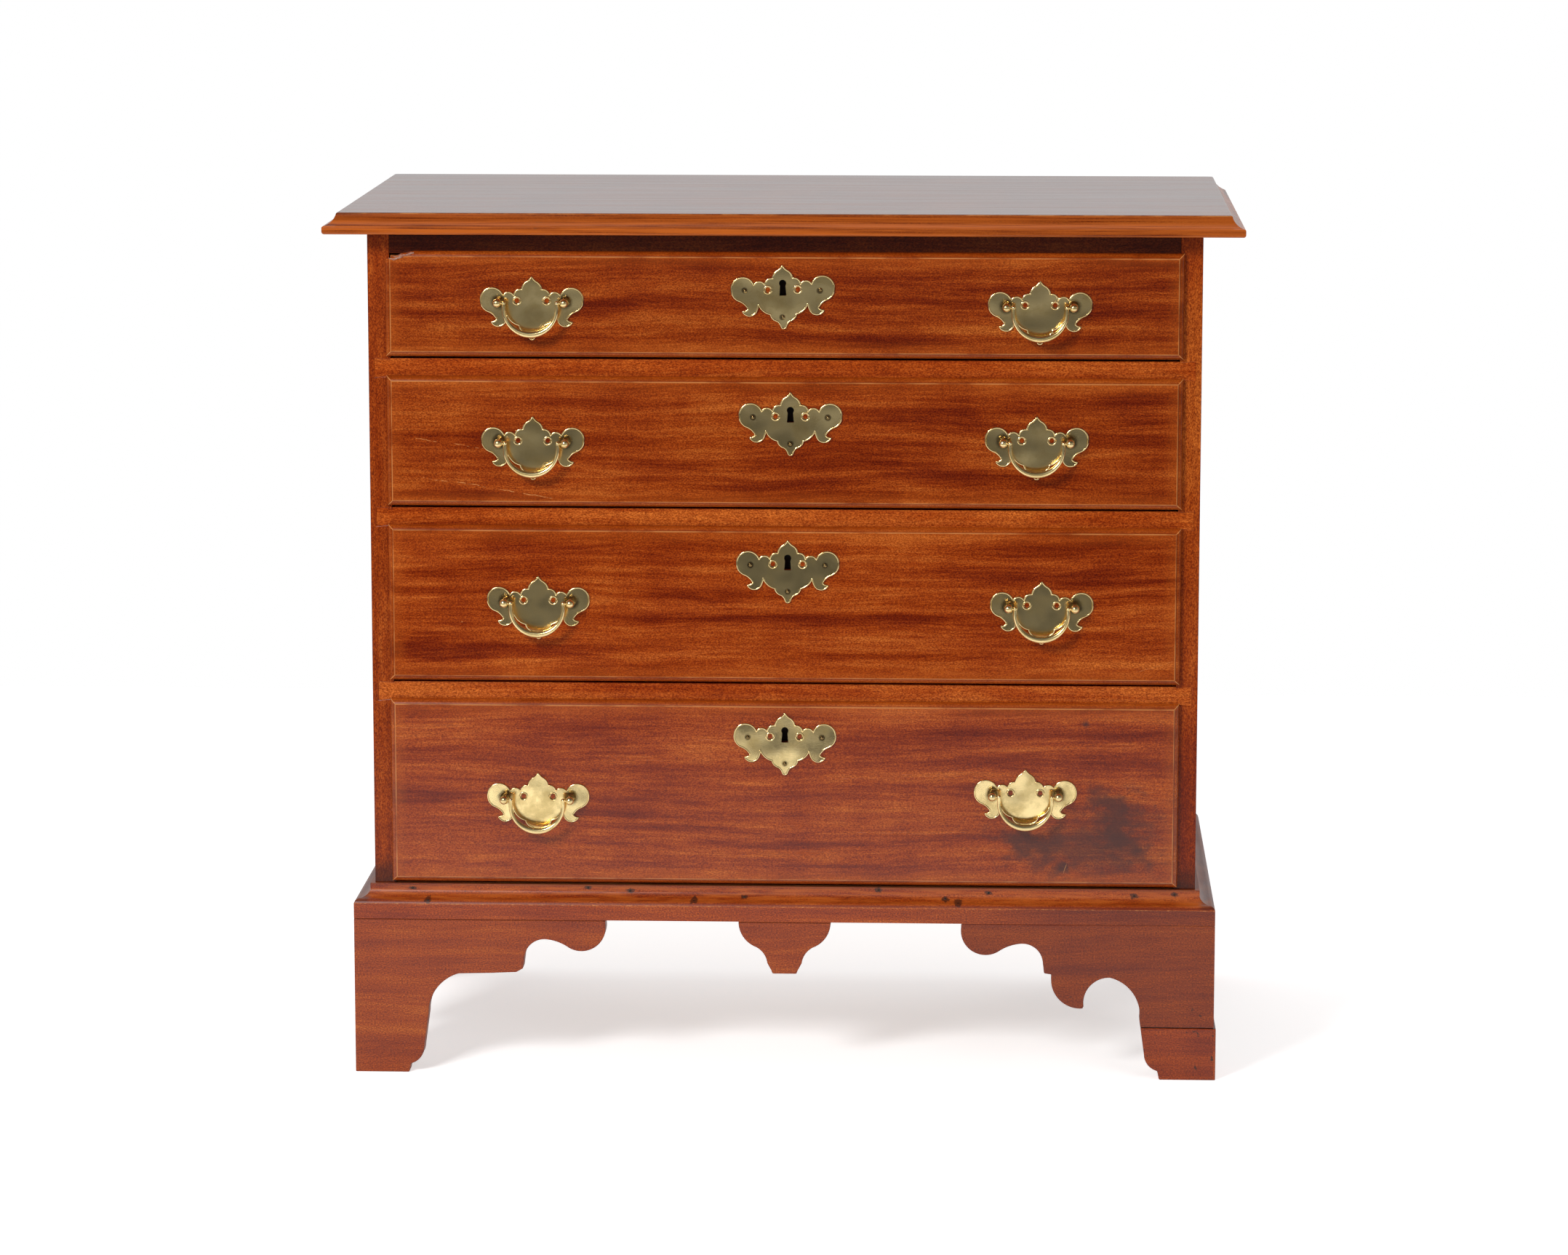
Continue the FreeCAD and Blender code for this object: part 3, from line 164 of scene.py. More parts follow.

# Brass, from polished to the dirt and painted shade in its corners
CLEAN_BRASS = (0.92, 0.72, 0.35)
DULL_BRASS = (0.70, 0.52, 0.22)
BRASS_DIRT_AND_SHADE = (0.13, 0.080, 0.030)
BAIL_POLISH = 0.18
PLATE_POLISH = 0.12
TARNISH_TURNS = (55.0, 55.0, 55.0)
SPECK_TURNS = (900.0, 900.0, 900.0)
POLISHING_TURNS = (260.0, 900.0, 5200.0)
UNEVEN_TURNS = (20.0, 20.0, 20.0)
TARNISH_SHARE = 0.85
SPECK_SHARE = 0.15
POLISHING_SHARE = 0.007
TARNISH_LEVEL = 0.36
CLEAN_LEVEL = 0.54
BRASS_GLOSS = (0.3, 0.65)
TARNISH_ROUGHNESS = 0.08
UNEVEN_RELIEF = 1.3 * MM

# Dirt round the posts and pins, and on the posts' flanges, in front of the plates, with painted shade round
# the posts and on their flanges
SEAT_DIRT_AND_SHADE = 0.85
SEAT_RAGGED = 0.8
SEAT_CORE = 0.6
FLANGE_DIRT_AND_SHADE_START = 4.5 * MM
FLANGE_DIRT_AND_SHADE_FULL = 1.5 * MM

# Iron, from bare to rusty
IRON_TONES = ((0.4, (0.035, 0.032, 0.030)), (0.6, (0.075, 0.048, 0.034)))
RUST_TURNS = (140.0, 140.0, 140.0)
RUST_GLOSS = (0.35, 0.65, 0.45, 0.7)
IRON_METALLIC = 0.8
RUST_BUMP = 0.3
RUST_RELIEF = 0.3 * MM

# The moulded edge round a drawer's flat face, with painted highlights along its arris and mitres and painted
# shade in its quirk
THUMB_WIDTH = 5.2 * MM
ARRIS_WIDTH = 0.9 * MM
ARRIS_CORE = 0.2
WEAR_TURNS = (25.0, 25.0, 25.0)
ARRIS_WEAR_AND_HIGHLIGHT = (0.35, 0.6, 0.15, 0.7)
QUIRK_SHADE_DEPTH = 0.55
MITRE_LINE = (0.9 * MM, 0.1 * MM)
MITRE_RUN = (-0.8 * MM, 0.4 * MM, 0.0, 0.9)
FACE_FADE = 16 * MM
FACE_PALE = 0.45

# Stains and scratches: longer stains than a spot are smoky, scratches are crooked and finely ragged
PATCH_RIM = 1.15
SPOT_LENGTH = 10
CLOUD_TURNS = (40.0, 40.0, 60.0)
SMOKE_TURNS = 22.0
SMOKE_SWING = 60 * MM
SCRATCH_WIDTH = 0.6 * MM
SCRATCH_CORE = 0.3
CROOK_TURNS = 30.0
CROOK_SWING = 7 * MM
RAGGED_TURNS = 300.0
RAGGED_SWING = 1.6 * MM


class Graph:
    """A material's nodes, with a short call for each kind that the finishes use."""

    def __init__(self, name):
        self.material = bpy.data.materials.new(name)
        self.material.use_nodes = True
        self.tree = self.material.node_tree
        self.shader = self.tree.nodes["Principled BSDF"]
        self.place = self.add("ShaderNodeTexCoord").outputs["Object"]

    def feed(self, socket, value):
        if isinstance(value, bpy.types.NodeSocket):
            self.tree.links.new(value, socket)
        else:
            socket.default_value = value

    def add(self, kind, values=(), **settings):
        node = self.tree.nodes.new(kind)
        for name, value in settings.items():
            setattr(node, name, value)
        for socket, value in values:
            self.feed(node.inputs[socket], value)
        return node

    def math(self, operation, *values):
        return self.add("ShaderNodeMath", enumerate(values), operation=operation).outputs[0]

    def vector(self, operation, *values):
        return self.add("ShaderNodeVectorMath", enumerate(values), operation=operation).outputs[0]

    def measure(self, operation, *values):
        return self.add("ShaderNodeVectorMath", enumerate(values), operation=operation).outputs[1]

    def split(self, vector):
        return self.add("ShaderNodeSeparateXYZ", [(0, vector)]).outputs[:3]

    def join(self, *values):
        return self.add("ShaderNodeCombineXYZ", enumerate(values)).outputs[0]

    def noise(self, vector, stretch, detail=3.0, roughness=0.55):
        stretched = self.vector("MULTIPLY", vector, stretch)
        values = [("Vector", stretched), ("Scale", 1.0), ("Detail", detail), ("Roughness", roughness)]
        return self.add("ShaderNodeTexNoise", values).outputs[0]

    def shake(self, vector, stretch, amount):
        stretched = self.vector("MULTIPLY", vector, (stretch, stretch, stretch))
        values = [("Vector", stretched), ("Scale", 1.0), ("Detail", 3.0)]
        swing = self.add("ShaderNodeTexNoise", values).outputs["Color"]
        swing = self.vector("SUBTRACT", swing, (0.5, 0.5, 0.5))
        return self.vector("MULTIPLY_ADD", swing, (amount, amount, amount), vector)

    def fade(self, value, start, end, low=0.0, high=1.0):
        values = enumerate((value, start, end, low, high))
        return self.add("ShaderNodeMapRange", values, interpolation_type="SMOOTHSTEP").outputs[0]

    def choose(self, factor, first, second):
        return self.add("ShaderNodeMix", [(0, factor), (2, first), (3, second)]).outputs[0]

    def tint(self, factor, first, second, blend="MIX"):
        colours = [(0, factor), (6, opaque(first)), (7, opaque(second))]
        return self.add("ShaderNodeMix", colours, data_type="RGBA", blend_type=blend).outputs[2]

    def ramp(self, factor, stops):
        node = self.add("ShaderNodeValToRGB", [(0, factor)])
        elements = node.color_ramp.elements
        while len(elements) < len(stops):
            elements.new(0.5)
        for element, (position, colour) in zip(elements, stops):
            element.position = position
            element.color = opaque(colour)
        return node.outputs[0]

    def bump(self, height, strength, distance):
        values = [("Height", height), ("Strength", strength), ("Distance", distance)]
        self.feed(self.shader.inputs["Normal"], self.add("ShaderNodeBump", values).outputs[0])

    def surface(self, values):
        for name, value in values.items():
            self.feed(self.shader.inputs[name], value)


def opaque(colour):
    """A colour with its alpha, or a socket as it is."""
    return (*colour, 1.0) if isinstance(colour, tuple) else colour


def straight(order):
    """Grain coordinates of a straight board, by axis: along, across and through the board."""
    def coordinates(graph):
        by_axis = dict(zip("xyz", graph.split(graph.place)))
        return [by_axis[axis] for axis in order]
    return coordinates


def boarded(node, count):
    """Grain coordinates of level boards, one over another, each with its own figure."""
    low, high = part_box(node)
    pitch = (high.z - low.z) / count

    def coordinates(graph):
        x, y, z = graph.split(graph.place)
        board = graph.math("FLOOR", graph.math("DIVIDE", graph.math("SUBTRACT", z, low.z), pitch))

        def shifted(value, step):
            return graph.math("MULTIPLY_ADD", board, step, value)
        return shifted(x, BOARD_SHIFT_ALONG), z, shifted(y, BOARD_SHIFT_THROUGH)
    return coordinates


def mitred(depth):
    """Grain coordinates of the base and its feet, which turn at the mitres from the front to the returns."""
    low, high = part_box("base_moulding")

    def coordinates(graph):
        x, y, z = graph.split(graph.place)
        in_from_side = graph.math("SUBTRACT", high.x, graph.math("ABSOLUTE", x))
        in_from_front = graph.math("SUBTRACT", y, low.y)
        limit = graph.math("MINIMUM", in_from_front, depth)
        on_return = graph.math("LESS_THAN", in_from_side, limit)
        return graph.choose(on_return, x, y), z, graph.choose(on_return, y, x)
    return coordinates


Patch = namedtuple("Patch", "x z length height depth")
Scratch = namedtuple("Scratch", "x z end_x end_z depth")


def patch_mask(graph, place, patch, fray, core=0.1):
    """An oval patch, full in its core and frayed at its rim."""
    centre = (patch.x * MM, patch.z * MM, 0.0)
    spread = (1 / (patch.length * MM), 1 / (patch.height * MM), 0.0)
    offset = graph.vector("MULTIPLY", graph.vector("SUBTRACT", place, centre), spread)
    reach = graph.math("ADD", graph.measure("LENGTH", offset), fray)
    return graph.fade(reach, PATCH_RIM, core, 0.0, patch.depth)


def scratch_mask(graph, place, scratch, width):
    """A thin line on a front, straight in the coordinates that are given."""
    start = Vector((scratch.x, scratch.z, 0.0)) * MM
    run = Vector((scratch.end_x, scratch.end_z, 0.0)) * MM - start
    offset = graph.vector("SUBTRACT", place, start)
    share = graph.measure("DOT_PRODUCT", offset, run / run.length_squared)
    share = graph.math("MINIMUM", graph.math("MAXIMUM", share, 0.0), 1.0)
    nearest = graph.vector("MULTIPLY", graph.join(share, share, share), run)
    distance = graph.measure("DISTANCE", offset, nearest)
    return graph.fade(distance, width, SCRATCH_CORE * width, 0.0, scratch.depth)


Varnish = namedtuple("Varnish", "polished dull specular coat")
BRIGHT_VARNISH = Varnish(0.18, 0.26, 0.22, 0.0)
HAZY_VARNISH = Varnish(0.20, 0.28, 0.46, 0.0)
TOP_VARNISH = Varnish(0.18, 0.24, 0.22, 0.5)
WORN_VARNISH = Varnish(0.30, 0.42, 0.52, 0.0)


def mahogany(name, grain, shift, tone=1.0, warmth=0.0, contrast=1.0, varnish=BRIGHT_VARNISH, bands=(),
             marks=None):
    """Varnished mahogany: dark streaks along the grain, a soft ribbon across it, fine fibres and pores."""
    graph = Graph(name)
    along, across, through = grain(graph)
    board = graph.join(along, across, through)
    shifted = graph.vector("ADD", board, shift)
    sway = graph.noise(shifted, SWAY_TURNS, detail=2.0)
    lift = graph.join(0.0, graph.math("MULTIPLY", graph.math("SUBTRACT", sway, NOISE_MEAN), SWAY), 0.0)
    waved = graph.vector("ADD", shifted, lift)
    streak = graph.noise(waved, STREAK_TURNS, detail=5.0, roughness=0.6)
    ribbon = graph.noise(shifted, RIBBON_TURNS)
    fibre = graph.noise(waved, FIBRE_TURNS)
    pore = graph.noise(shifted, PORE_TURNS, detail=2.0)
    ground = NOISE_MEAN + warmth - NOISE_MEAN * contrast
    figure = graph.math("MULTIPLY_ADD", streak, STREAK_SHARE * contrast, ground)
    figure = graph.math("MULTIPLY_ADD", ribbon, RIBBON_SHARE * contrast, figure)
    figure = graph.math("MULTIPLY_ADD", fibre, FIBRE_SHARE * contrast, figure)
    fray = graph.math("MULTIPLY", graph.math("SUBTRACT", streak, NOISE_MEAN), BAND_FRAY)
    for band in bands:
        mask = patch_mask(graph, graph.vector("ADD", board, lift), band, fray)
        figure = graph.math("SUBTRACT", figure, mask)
    tones = [(place, tuple(tone * part for part in colour)) for place, colour in MAHOGANY_TONES]
    colour = graph.tint(1.0, graph.ramp(figure, tones), graph.ramp(pore, PORES), blend="MULTIPLY")
    gloss = graph.fade(streak, *GLOSS_STREAKS, varnish.polished, varnish.dull)
    graph.surface({"Roughness": gloss, "Specular IOR Level": varnish.specular,
                   "Coat Weight": varnish.coat, "Coat Roughness": varnish.polished})
    if marks:
        colour = marks(graph, colour)
    graph.surface({"Base Color": colour})
    graph.bump(graph.math("ADD", fibre, pore), FIBRE_BUMP, FIBRE_RELIEF)
    return graph.material


def clouded(graph, strength=2.6):
    """Ragged noise that breaks the rims of stains."""
    cloud = graph.noise(graph.place, CLOUD_TURNS, detail=5.0, roughness=0.65)
    return graph.math("MULTIPLY", graph.math("SUBTRACT", cloud, NOISE_MEAN), strength)


def drawer_marks(node, stains, scratches):
    """The worn arris round a drawer's face with a painted highlight along it and painted shade in the quirk,
    painted highlights along the mitres, the paler wood beside it, its stains and its scratches.
    """
    low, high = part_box(node)
    middle = (low + high) / 2
    half = (high - low) / 2

    def marks(graph, colour):
        x, _, z = graph.split(graph.place)
        past_end = graph.math("ABSOLUTE", graph.math("SUBTRACT", x, middle.x))
        past_end = graph.math("SUBTRACT", past_end, half.x - THUMB_WIDTH)
        past_top = graph.math("ABSOLUTE", graph.math("SUBTRACT", z, middle.z))
        past_top = graph.math("SUBTRACT", past_top, half.z - THUMB_WIDTH)
        past = graph.math("MAXIMUM", past_end, past_top)
        corner = graph.math("MINIMUM", past_end, past_top)
        patchy = graph.noise(graph.place, WEAR_TURNS)
        face = graph.join(x, z, 0.0)
        smoky = graph.shake(face, SMOKE_TURNS, SMOKE_SWING)
        ragged = clouded(graph)
        for stain in stains:
            place = smoky if stain.length > SPOT_LENGTH else face
            colour = graph.tint(patch_mask(graph, place, stain, ragged), colour, STAIN)
        pale = graph.math("MULTIPLY", graph.fade(past, -FACE_FADE, 0.0, 0.0, FACE_PALE), patchy)
        colour = graph.tint(pale, colour, MAHOGANY_GOLD)
        # Painted shade: a dark line in the quirk beside the arris
        quirk_shade = graph.math("ABSOLUTE", graph.math("SUBTRACT", past, ARRIS_WIDTH))
        quirk_shade = graph.fade(quirk_shade, ARRIS_WIDTH, 0.0)
        colour = graph.tint(graph.math("MULTIPLY", quirk_shade, QUIRK_SHADE_DEPTH), colour, MAHOGANY_DARK)
        # Painted highlight along the arris, broken where it is worn
        line = graph.fade(graph.math("ABSOLUTE", past), ARRIS_WIDTH, ARRIS_CORE * ARRIS_WIDTH)
        worn = graph.math("MULTIPLY", line, graph.fade(patchy, *ARRIS_WEAR_AND_HIGHLIGHT))
        # Painted highlight along the mitres at the corners
        mitre = graph.fade(graph.math("ABSOLUTE", graph.math("SUBTRACT", past_end, past_top)), *MITRE_LINE)
        mitre = graph.math("MULTIPLY", mitre, graph.fade(corner, *MITRE_RUN))
        colour = graph.tint(graph.math("MAXIMUM", worn, mitre), colour, MAHOGANY_WEAR_AND_HIGHLIGHT)
        crooked = graph.shake(graph.shake(face, CROOK_TURNS, CROOK_SWING), RAGGED_TURNS, RAGGED_SWING)
        for scratch in scratches:
            colour = graph.tint(scratch_mask(graph, crooked, scratch, SCRATCH_WIDTH), colour, MAHOGANY_WEAR_AND_HIGHLIGHT)
        return colour
    return marks


def base_marks(graph, colour):
    """The base's rubbed cove, shaded flat, painted shade in its quirk, chipped arris with a painted
    highlight, nail stains, grime on its returns and a darker ledge.
    """
    low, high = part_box("base_moulding")
    x, _, z = graph.split(graph.place)
    over = graph.math("SUBTRACT", z, low.z + FASCIA_HEIGHT)
    patchy = graph.noise(graph.place, COVE_TURNS, detail=4.0)
    rubbed = graph.math("MULTIPLY", graph.fade(over, *COVE_RISE), graph.fade(patchy, *COVE_WEAR))
    colour = graph.tint(rubbed, colour, MAHOGANY_GOLD)
    lower = graph.math("MULTIPLY", graph.fade(x, *FASCIA_SHADE_RUN), graph.fade(over, *FASCIA_EDGE))
    colour = graph.tint(lower, colour, FASCIA_SHADE, blend="MULTIPLY")
    # Painted shade: a dark line along the quirk over the arris
    quirk_shade = graph.math("ABSOLUTE", graph.math("SUBTRACT", over, BASE_QUIRK_HEIGHT))
    quirk_shade = graph.fade(quirk_shade, BASE_QUIRK_HEIGHT, *BASE_QUIRK_SHADE)
    colour = graph.tint(quirk_shade, colour, MAHOGANY_DARK)
    # Painted highlight along the arris, broken by chips
    line = graph.fade(graph.math("ABSOLUTE", over), *BASE_ARRIS)
    chipped = graph.noise(graph.place, CHIP_TURNS)
    chips_and_highlight = graph.math("MULTIPLY", line, graph.fade(chipped, *BASE_CHIPS_AND_HIGHLIGHT))
    colour = graph.tint(chips_and_highlight, colour, MAHOGANY_WEAR_AND_HIGHLIGHT)
    blotted = graph.shake(graph.join(x, z, 0.0), BLOT_TURNS, BLOT_SWING)
    for nail_x, nail_z in NAILS:
        stain = Patch(nail_x, nail_z, *NAIL_STAIN)
        mask = patch_mask(graph, blotted, stain, 0.0, core=NAIL_STAIN_CORE)
        colour = graph.tint(mask, colour, GRIME)
    on_return = graph.math("ABSOLUTE", x)
    on_return = graph.fade(on_return, high.x - RETURN_START, high.x - RETURN_END, 0.0, RETURN_GRIME)
    colour = graph.tint(graph.math("MULTIPLY", on_return, graph.fade(over, 0.0, RETURN_RISE)), colour, GRIME)
    # Darker, in patches, along the top of the moulding under the bottom drawer's lip
    darkened = graph.math("MULTIPLY", graph.fade(z, high.z - LEDGE_REACH, high.z, 0.0, LEDGE_DARKENING), patchy)
    return graph.tint(darkened, colour, GRIME)


def top_marks(graph, colour):
    """The top's waxed face and dents, its dry moulded edge, rubbed paler, and the worn arris between with a
    painted highlight along it.
    """
    _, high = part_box("top_board")
    z = graph.split(graph.place)[2]
    dents = graph.noise(graph.place, TOP_DENT_TURNS, detail=2.0)
    colour = graph.tint(graph.fade(dents, *TOP_DENTS), colour, GRIME)
    patchy = graph.noise(graph.place, EDGE_TURNS, detail=4.0, roughness=0.65)
    under = graph.fade(z, high.z - WAX_END, high.z - EDGE_START)
    graph.surface({"Coat Weight": graph.math("MULTIPLY_ADD", under, -TOP_VARNISH.coat, TOP_VARNISH.coat)})
    rubbed = graph.fade(patchy, *EDGE_WEAR)
    gold = graph.fade(z, high.z - NOSE_TOP, high.z - COVE_FOOT, 1.0, COVE_GOLD)
    gold = graph.math("MULTIPLY", rubbed, gold)
    colour = graph.tint(graph.math("MULTIPLY", under, gold), colour, MAHOGANY_GOLD)
    # Painted highlight along the arris, broken by chips
    arris = graph.math("ABSOLUTE", graph.math("SUBTRACT", z, high.z - TOP_ARRIS_DROP))
    arris = graph.fade(arris, TOP_ARRIS_DROP, TOP_ARRIS_CORE)
    chipped = graph.noise(graph.place, TOP_CHIP_TURNS, detail=4.0)
    chips_and_highlight = graph.math("MULTIPLY", arris, graph.fade(chipped, *TOP_CHIPS_AND_HIGHLIGHT))
    return graph.tint(chips_and_highlight, colour, MAHOGANY_WEAR_AND_HIGHLIGHT)


def side_marks(graph, colour):
    """The grime at the foot of the case's sides."""
    _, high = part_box("base_moulding")
    z = graph.split(graph.place)[2]
    ragged = graph.math("MULTIPLY_ADD", clouded(graph), SIDE_RAGGED, z)
    darkened = graph.fade(ragged, high.z + SIDE_GRIME_TOP, high.z + SIDE_GRIME_FULL, 0.0, SIDE_GRIME)
    return graph.tint(darkened, colour, GRIME)


def seam_marks(graph, colour):
    """The dull dirt in the seam between the feet and the moulding over them."""
    _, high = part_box("front_left_foot")
    z = graph.split(graph.place)[2]
    seam = graph.fade(z, high.z - SEAM_START, high.z - SEAM_FULL)
    gloss = graph.shader.inputs["Roughness"].links[0].from_socket
    graph.surface({"Roughness": graph.choose(seam, gloss, 1.0)})
    return graph.tint(graph.math("MULTIPLY", seam, SEAM_GRIME), colour, GRIME)


def foot_marks(graph, colour):
    """The paler spliced end of the foot, the dark crack over it and the small dents round it."""
    z = graph.split(graph.place)[2]
    spliced = graph.math("LESS_THAN", z, SPLICE_HEIGHT)
    colour = graph.tint(spliced, colour, SPLICE_TINT, blend="MULTIPLY")
    dents = graph.noise(graph.place, FOOT_DENT_TURNS, detail=1.0)
    low_down = graph.fade(z, SPLICE_HEIGHT + DENTS_OVER, SPLICE_HEIGHT - DENTS_UNDER, *DENT_DEPTHS)
    colour = graph.tint(graph.math("MULTIPLY", graph.fade(dents, *FOOT_DENTS), low_down), colour, GRIME)
    height = graph.math("MULTIPLY_ADD", clouded(graph), CRACK_RAGGED, z)
    crack = graph.math("ABSOLUTE", graph.math("SUBTRACT", height, SPLICE_HEIGHT))
    return graph.tint(graph.fade(crack, *CRACK), colour, GRIME)


def back_marks(graph, colour):
    """The dark seams between the back boards, and the dirt beside them."""
    low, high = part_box("back_boards")
    pitch = (high.z - low.z) / BACK_BOARD_COUNT
    z = graph.split(graph.place)[2]
    share = graph.math("PINGPONG", graph.math("DIVIDE", graph.math("SUBTRACT", z, low.z), pitch), 0.5)
    near = graph.fade(share, BOARD_DIRT_REACH, 0.0)
    dirt = graph.math("MULTIPLY", near, graph.noise(graph.place, BOARD_DIRT_TURNS))
    colour = graph.tint(dirt, colour, PINE_DARK)
    seam = graph.fade(share, BOARD_SEAM / pitch, BOARD_SEAM_CORE / pitch, 0.0, BOARD_SEAM_DEPTH)
    return graph.tint(seam, colour, PINE_KNOT)


def pine(name, grain, shift, marks=None):
    """Bare secondary wood, darkened with age: growth lines that part round knots, fibres and saw marks."""
    graph = Graph(name)
    along, across, through = grain(graph)
    board = graph.vector("ADD", graph.join(along, across, through), shift)
    spread = graph.vector("MULTIPLY", board, KNOT_TURNS)
    knot = graph.add("ShaderNodeTexVoronoi", [("Vector", spread), ("Scale", 1.0)]).outputs["Distance"]
    parted = graph.join(0.0, graph.fade(knot, *KNOT_PARTING), 0.0)
    lines = graph.noise(graph.vector("ADD", board, parted), GROWTH_TURNS, detail=5.0, roughness=0.6)
    fibre = graph.noise(board, PINE_FIBRE_TURNS)
    saw = graph.noise(board, SAW_TURNS, detail=1.0)
    figure = graph.math("MULTIPLY", lines, GROWTH_SHARE)
    figure = graph.math("MULTIPLY_ADD", fibre, PINE_FIBRE_SHARE, figure)
    figure = graph.math("MULTIPLY_ADD", saw, SAW_SHARE, figure)
    colour = graph.ramp(figure, PINE_TONES)
    grime = graph.noise(board, PINE_GRIME_TURNS, detail=5.0)
    colour = graph.tint(graph.fade(grime, *PINE_GRIME), colour, PINE_DARK)
    colour = graph.tint(graph.fade(knot, *KNOT_CORE), colour, PINE_KNOT)
    if marks:
        colour = marks(graph, colour)
    graph.surface({"Base Color": colour, "Roughness": PINE_ROUGHNESS})
    graph.bump(figure, PINE_BUMP, PINE_RELIEF)
    return graph.material


def plate_marks(drawer):
    """The dirt round the posts on a drawer's pull plates, with painted shade round the posts, and the dirt
    round the pins of its escutcheon.
    """
    spots = []
    for node, seats in ((f"{drawer}_pull_plates", POST_SEATS), (f"{drawer}_escutcheon", PIN_SEATS)):
        for outline in front_outlines(node):
            peak = max(outline, key=lambda point: point.z) / MM
            if outline_width(outline) > PLATE_WIDTH:
                spots += [Patch(peak.x + x, peak.z - drop, size, size, SEAT_DIRT_AND_SHADE) for x, drop, size in seats]

    def marks(graph, colour):
        x, _, z = graph.split(graph.place)
        ragged = clouded(graph, SEAT_RAGGED)
        for spot in spots:
            # Dirt round the posts and pins, and painted shade round the posts
            mask = patch_mask(graph, graph.join(x, z, 0.0), spot, ragged, core=SEAT_CORE)
            colour = graph.tint(mask, colour, BRASS_DIRT_AND_SHADE)
        return colour
    return marks


def post_marks(graph, colour):
    """The dirt and painted shade on the flanges at the feet of the posts."""
    low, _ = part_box("drawer_1_pull_plates")
    y = graph.split(graph.place)[1]
    # Dirt and painted shade on the flanges round the posts' feet
    dirt_and_shade = graph.fade(y, low.y - FLANGE_DIRT_AND_SHADE_START, low.y - FLANGE_DIRT_AND_SHADE_FULL, 0.0, SEAT_DIRT_AND_SHADE)
    return graph.tint(dirt_and_shade, colour, BRASS_DIRT_AND_SHADE)


def brass(name, clean, tarnished, polish, marks=None):
    """Old polished brass: slightly uneven, clouded, finely scratched and dulled in patches."""
    graph = Graph(name)
    cloud = graph.noise(graph.place, TARNISH_TURNS, detail=5.0)
    speck = graph.noise(graph.place, SPECK_TURNS, detail=2.0)
    scratch = graph.noise(graph.place, POLISHING_TURNS, detail=2.0)
    uneven = graph.noise(graph.place, UNEVEN_TURNS, detail=1.0)
    dull = graph.math("MULTIPLY", cloud, TARNISH_SHARE)
    dull = graph.math("MULTIPLY_ADD", speck, SPECK_SHARE, dull)
    colour = graph.ramp(dull, [(TARNISH_LEVEL, tarnished), (CLEAN_LEVEL, clean)])
    if marks:
        colour = marks(graph, colour)
    gloss = graph.fade(dull, *BRASS_GLOSS, polish + TARNISH_ROUGHNESS, polish)
    graph.surface({"Base Color": colour, "Metallic": 1.0, "Roughness": gloss})
    graph.bump(graph.math("MULTIPLY_ADD", scratch, POLISHING_SHARE, uneven), 1.0, UNEVEN_RELIEF)
    return graph.material


def iron(name):
    """Dark iron with a little rust."""
    graph = Graph(name)
    rust = graph.noise(graph.place, RUST_TURNS, detail=5.0)
    colour = graph.ramp(rust, IRON_TONES)
    gloss = graph.fade(rust, *RUST_GLOSS)
    graph.surface({"Base Color": colour, "Metallic": IRON_METALLIC, "Roughness": gloss})
    graph.bump(rust, RUST_BUMP, RUST_RELIEF)
    return graph.material


def dress(name, material):
    """Gives a node its finish."""
    nodes[name].data.materials.clear()
    nodes[name].data.materials.append(material)


# Eased edges: their widths, and the angles under which faces are flat and over which edges are sharp
FOOT_EASE = 1.0 * MM
CASE_EASE = 0.6 * MM
EASE_SEGMENTS = 2
WELD_DISTANCE = 0.002 * MM
FLAT_ANGLE = math.radians(0.5)
SHARP_ANGLE = math.radians(35)


def soften(name, width):
    """Eases a node's sharp edges."""
    obj = nodes[name]
    obj.modifiers.new("weld", "WELD").merge_threshold = WELD_DISTANCE
    flat = obj.modifiers.new("flat", "DECIMATE")
    flat.decimate_type = "DISSOLVE"
    flat.angle_limit = FLAT_ANGLE
    bevel = obj.modifiers.new("ease", "BEVEL")
    bevel.width = width
    bevel.segments = EASE_SEGMENTS
    bevel.limit_method = "ANGLE"
    bevel.angle_limit = SHARP_ANGLE
    bevel.use_clamp_overlap = False
    normals = obj.modifiers.new("normals", "WEIGHTED_NORMAL")
    normals.keep_sharp = True


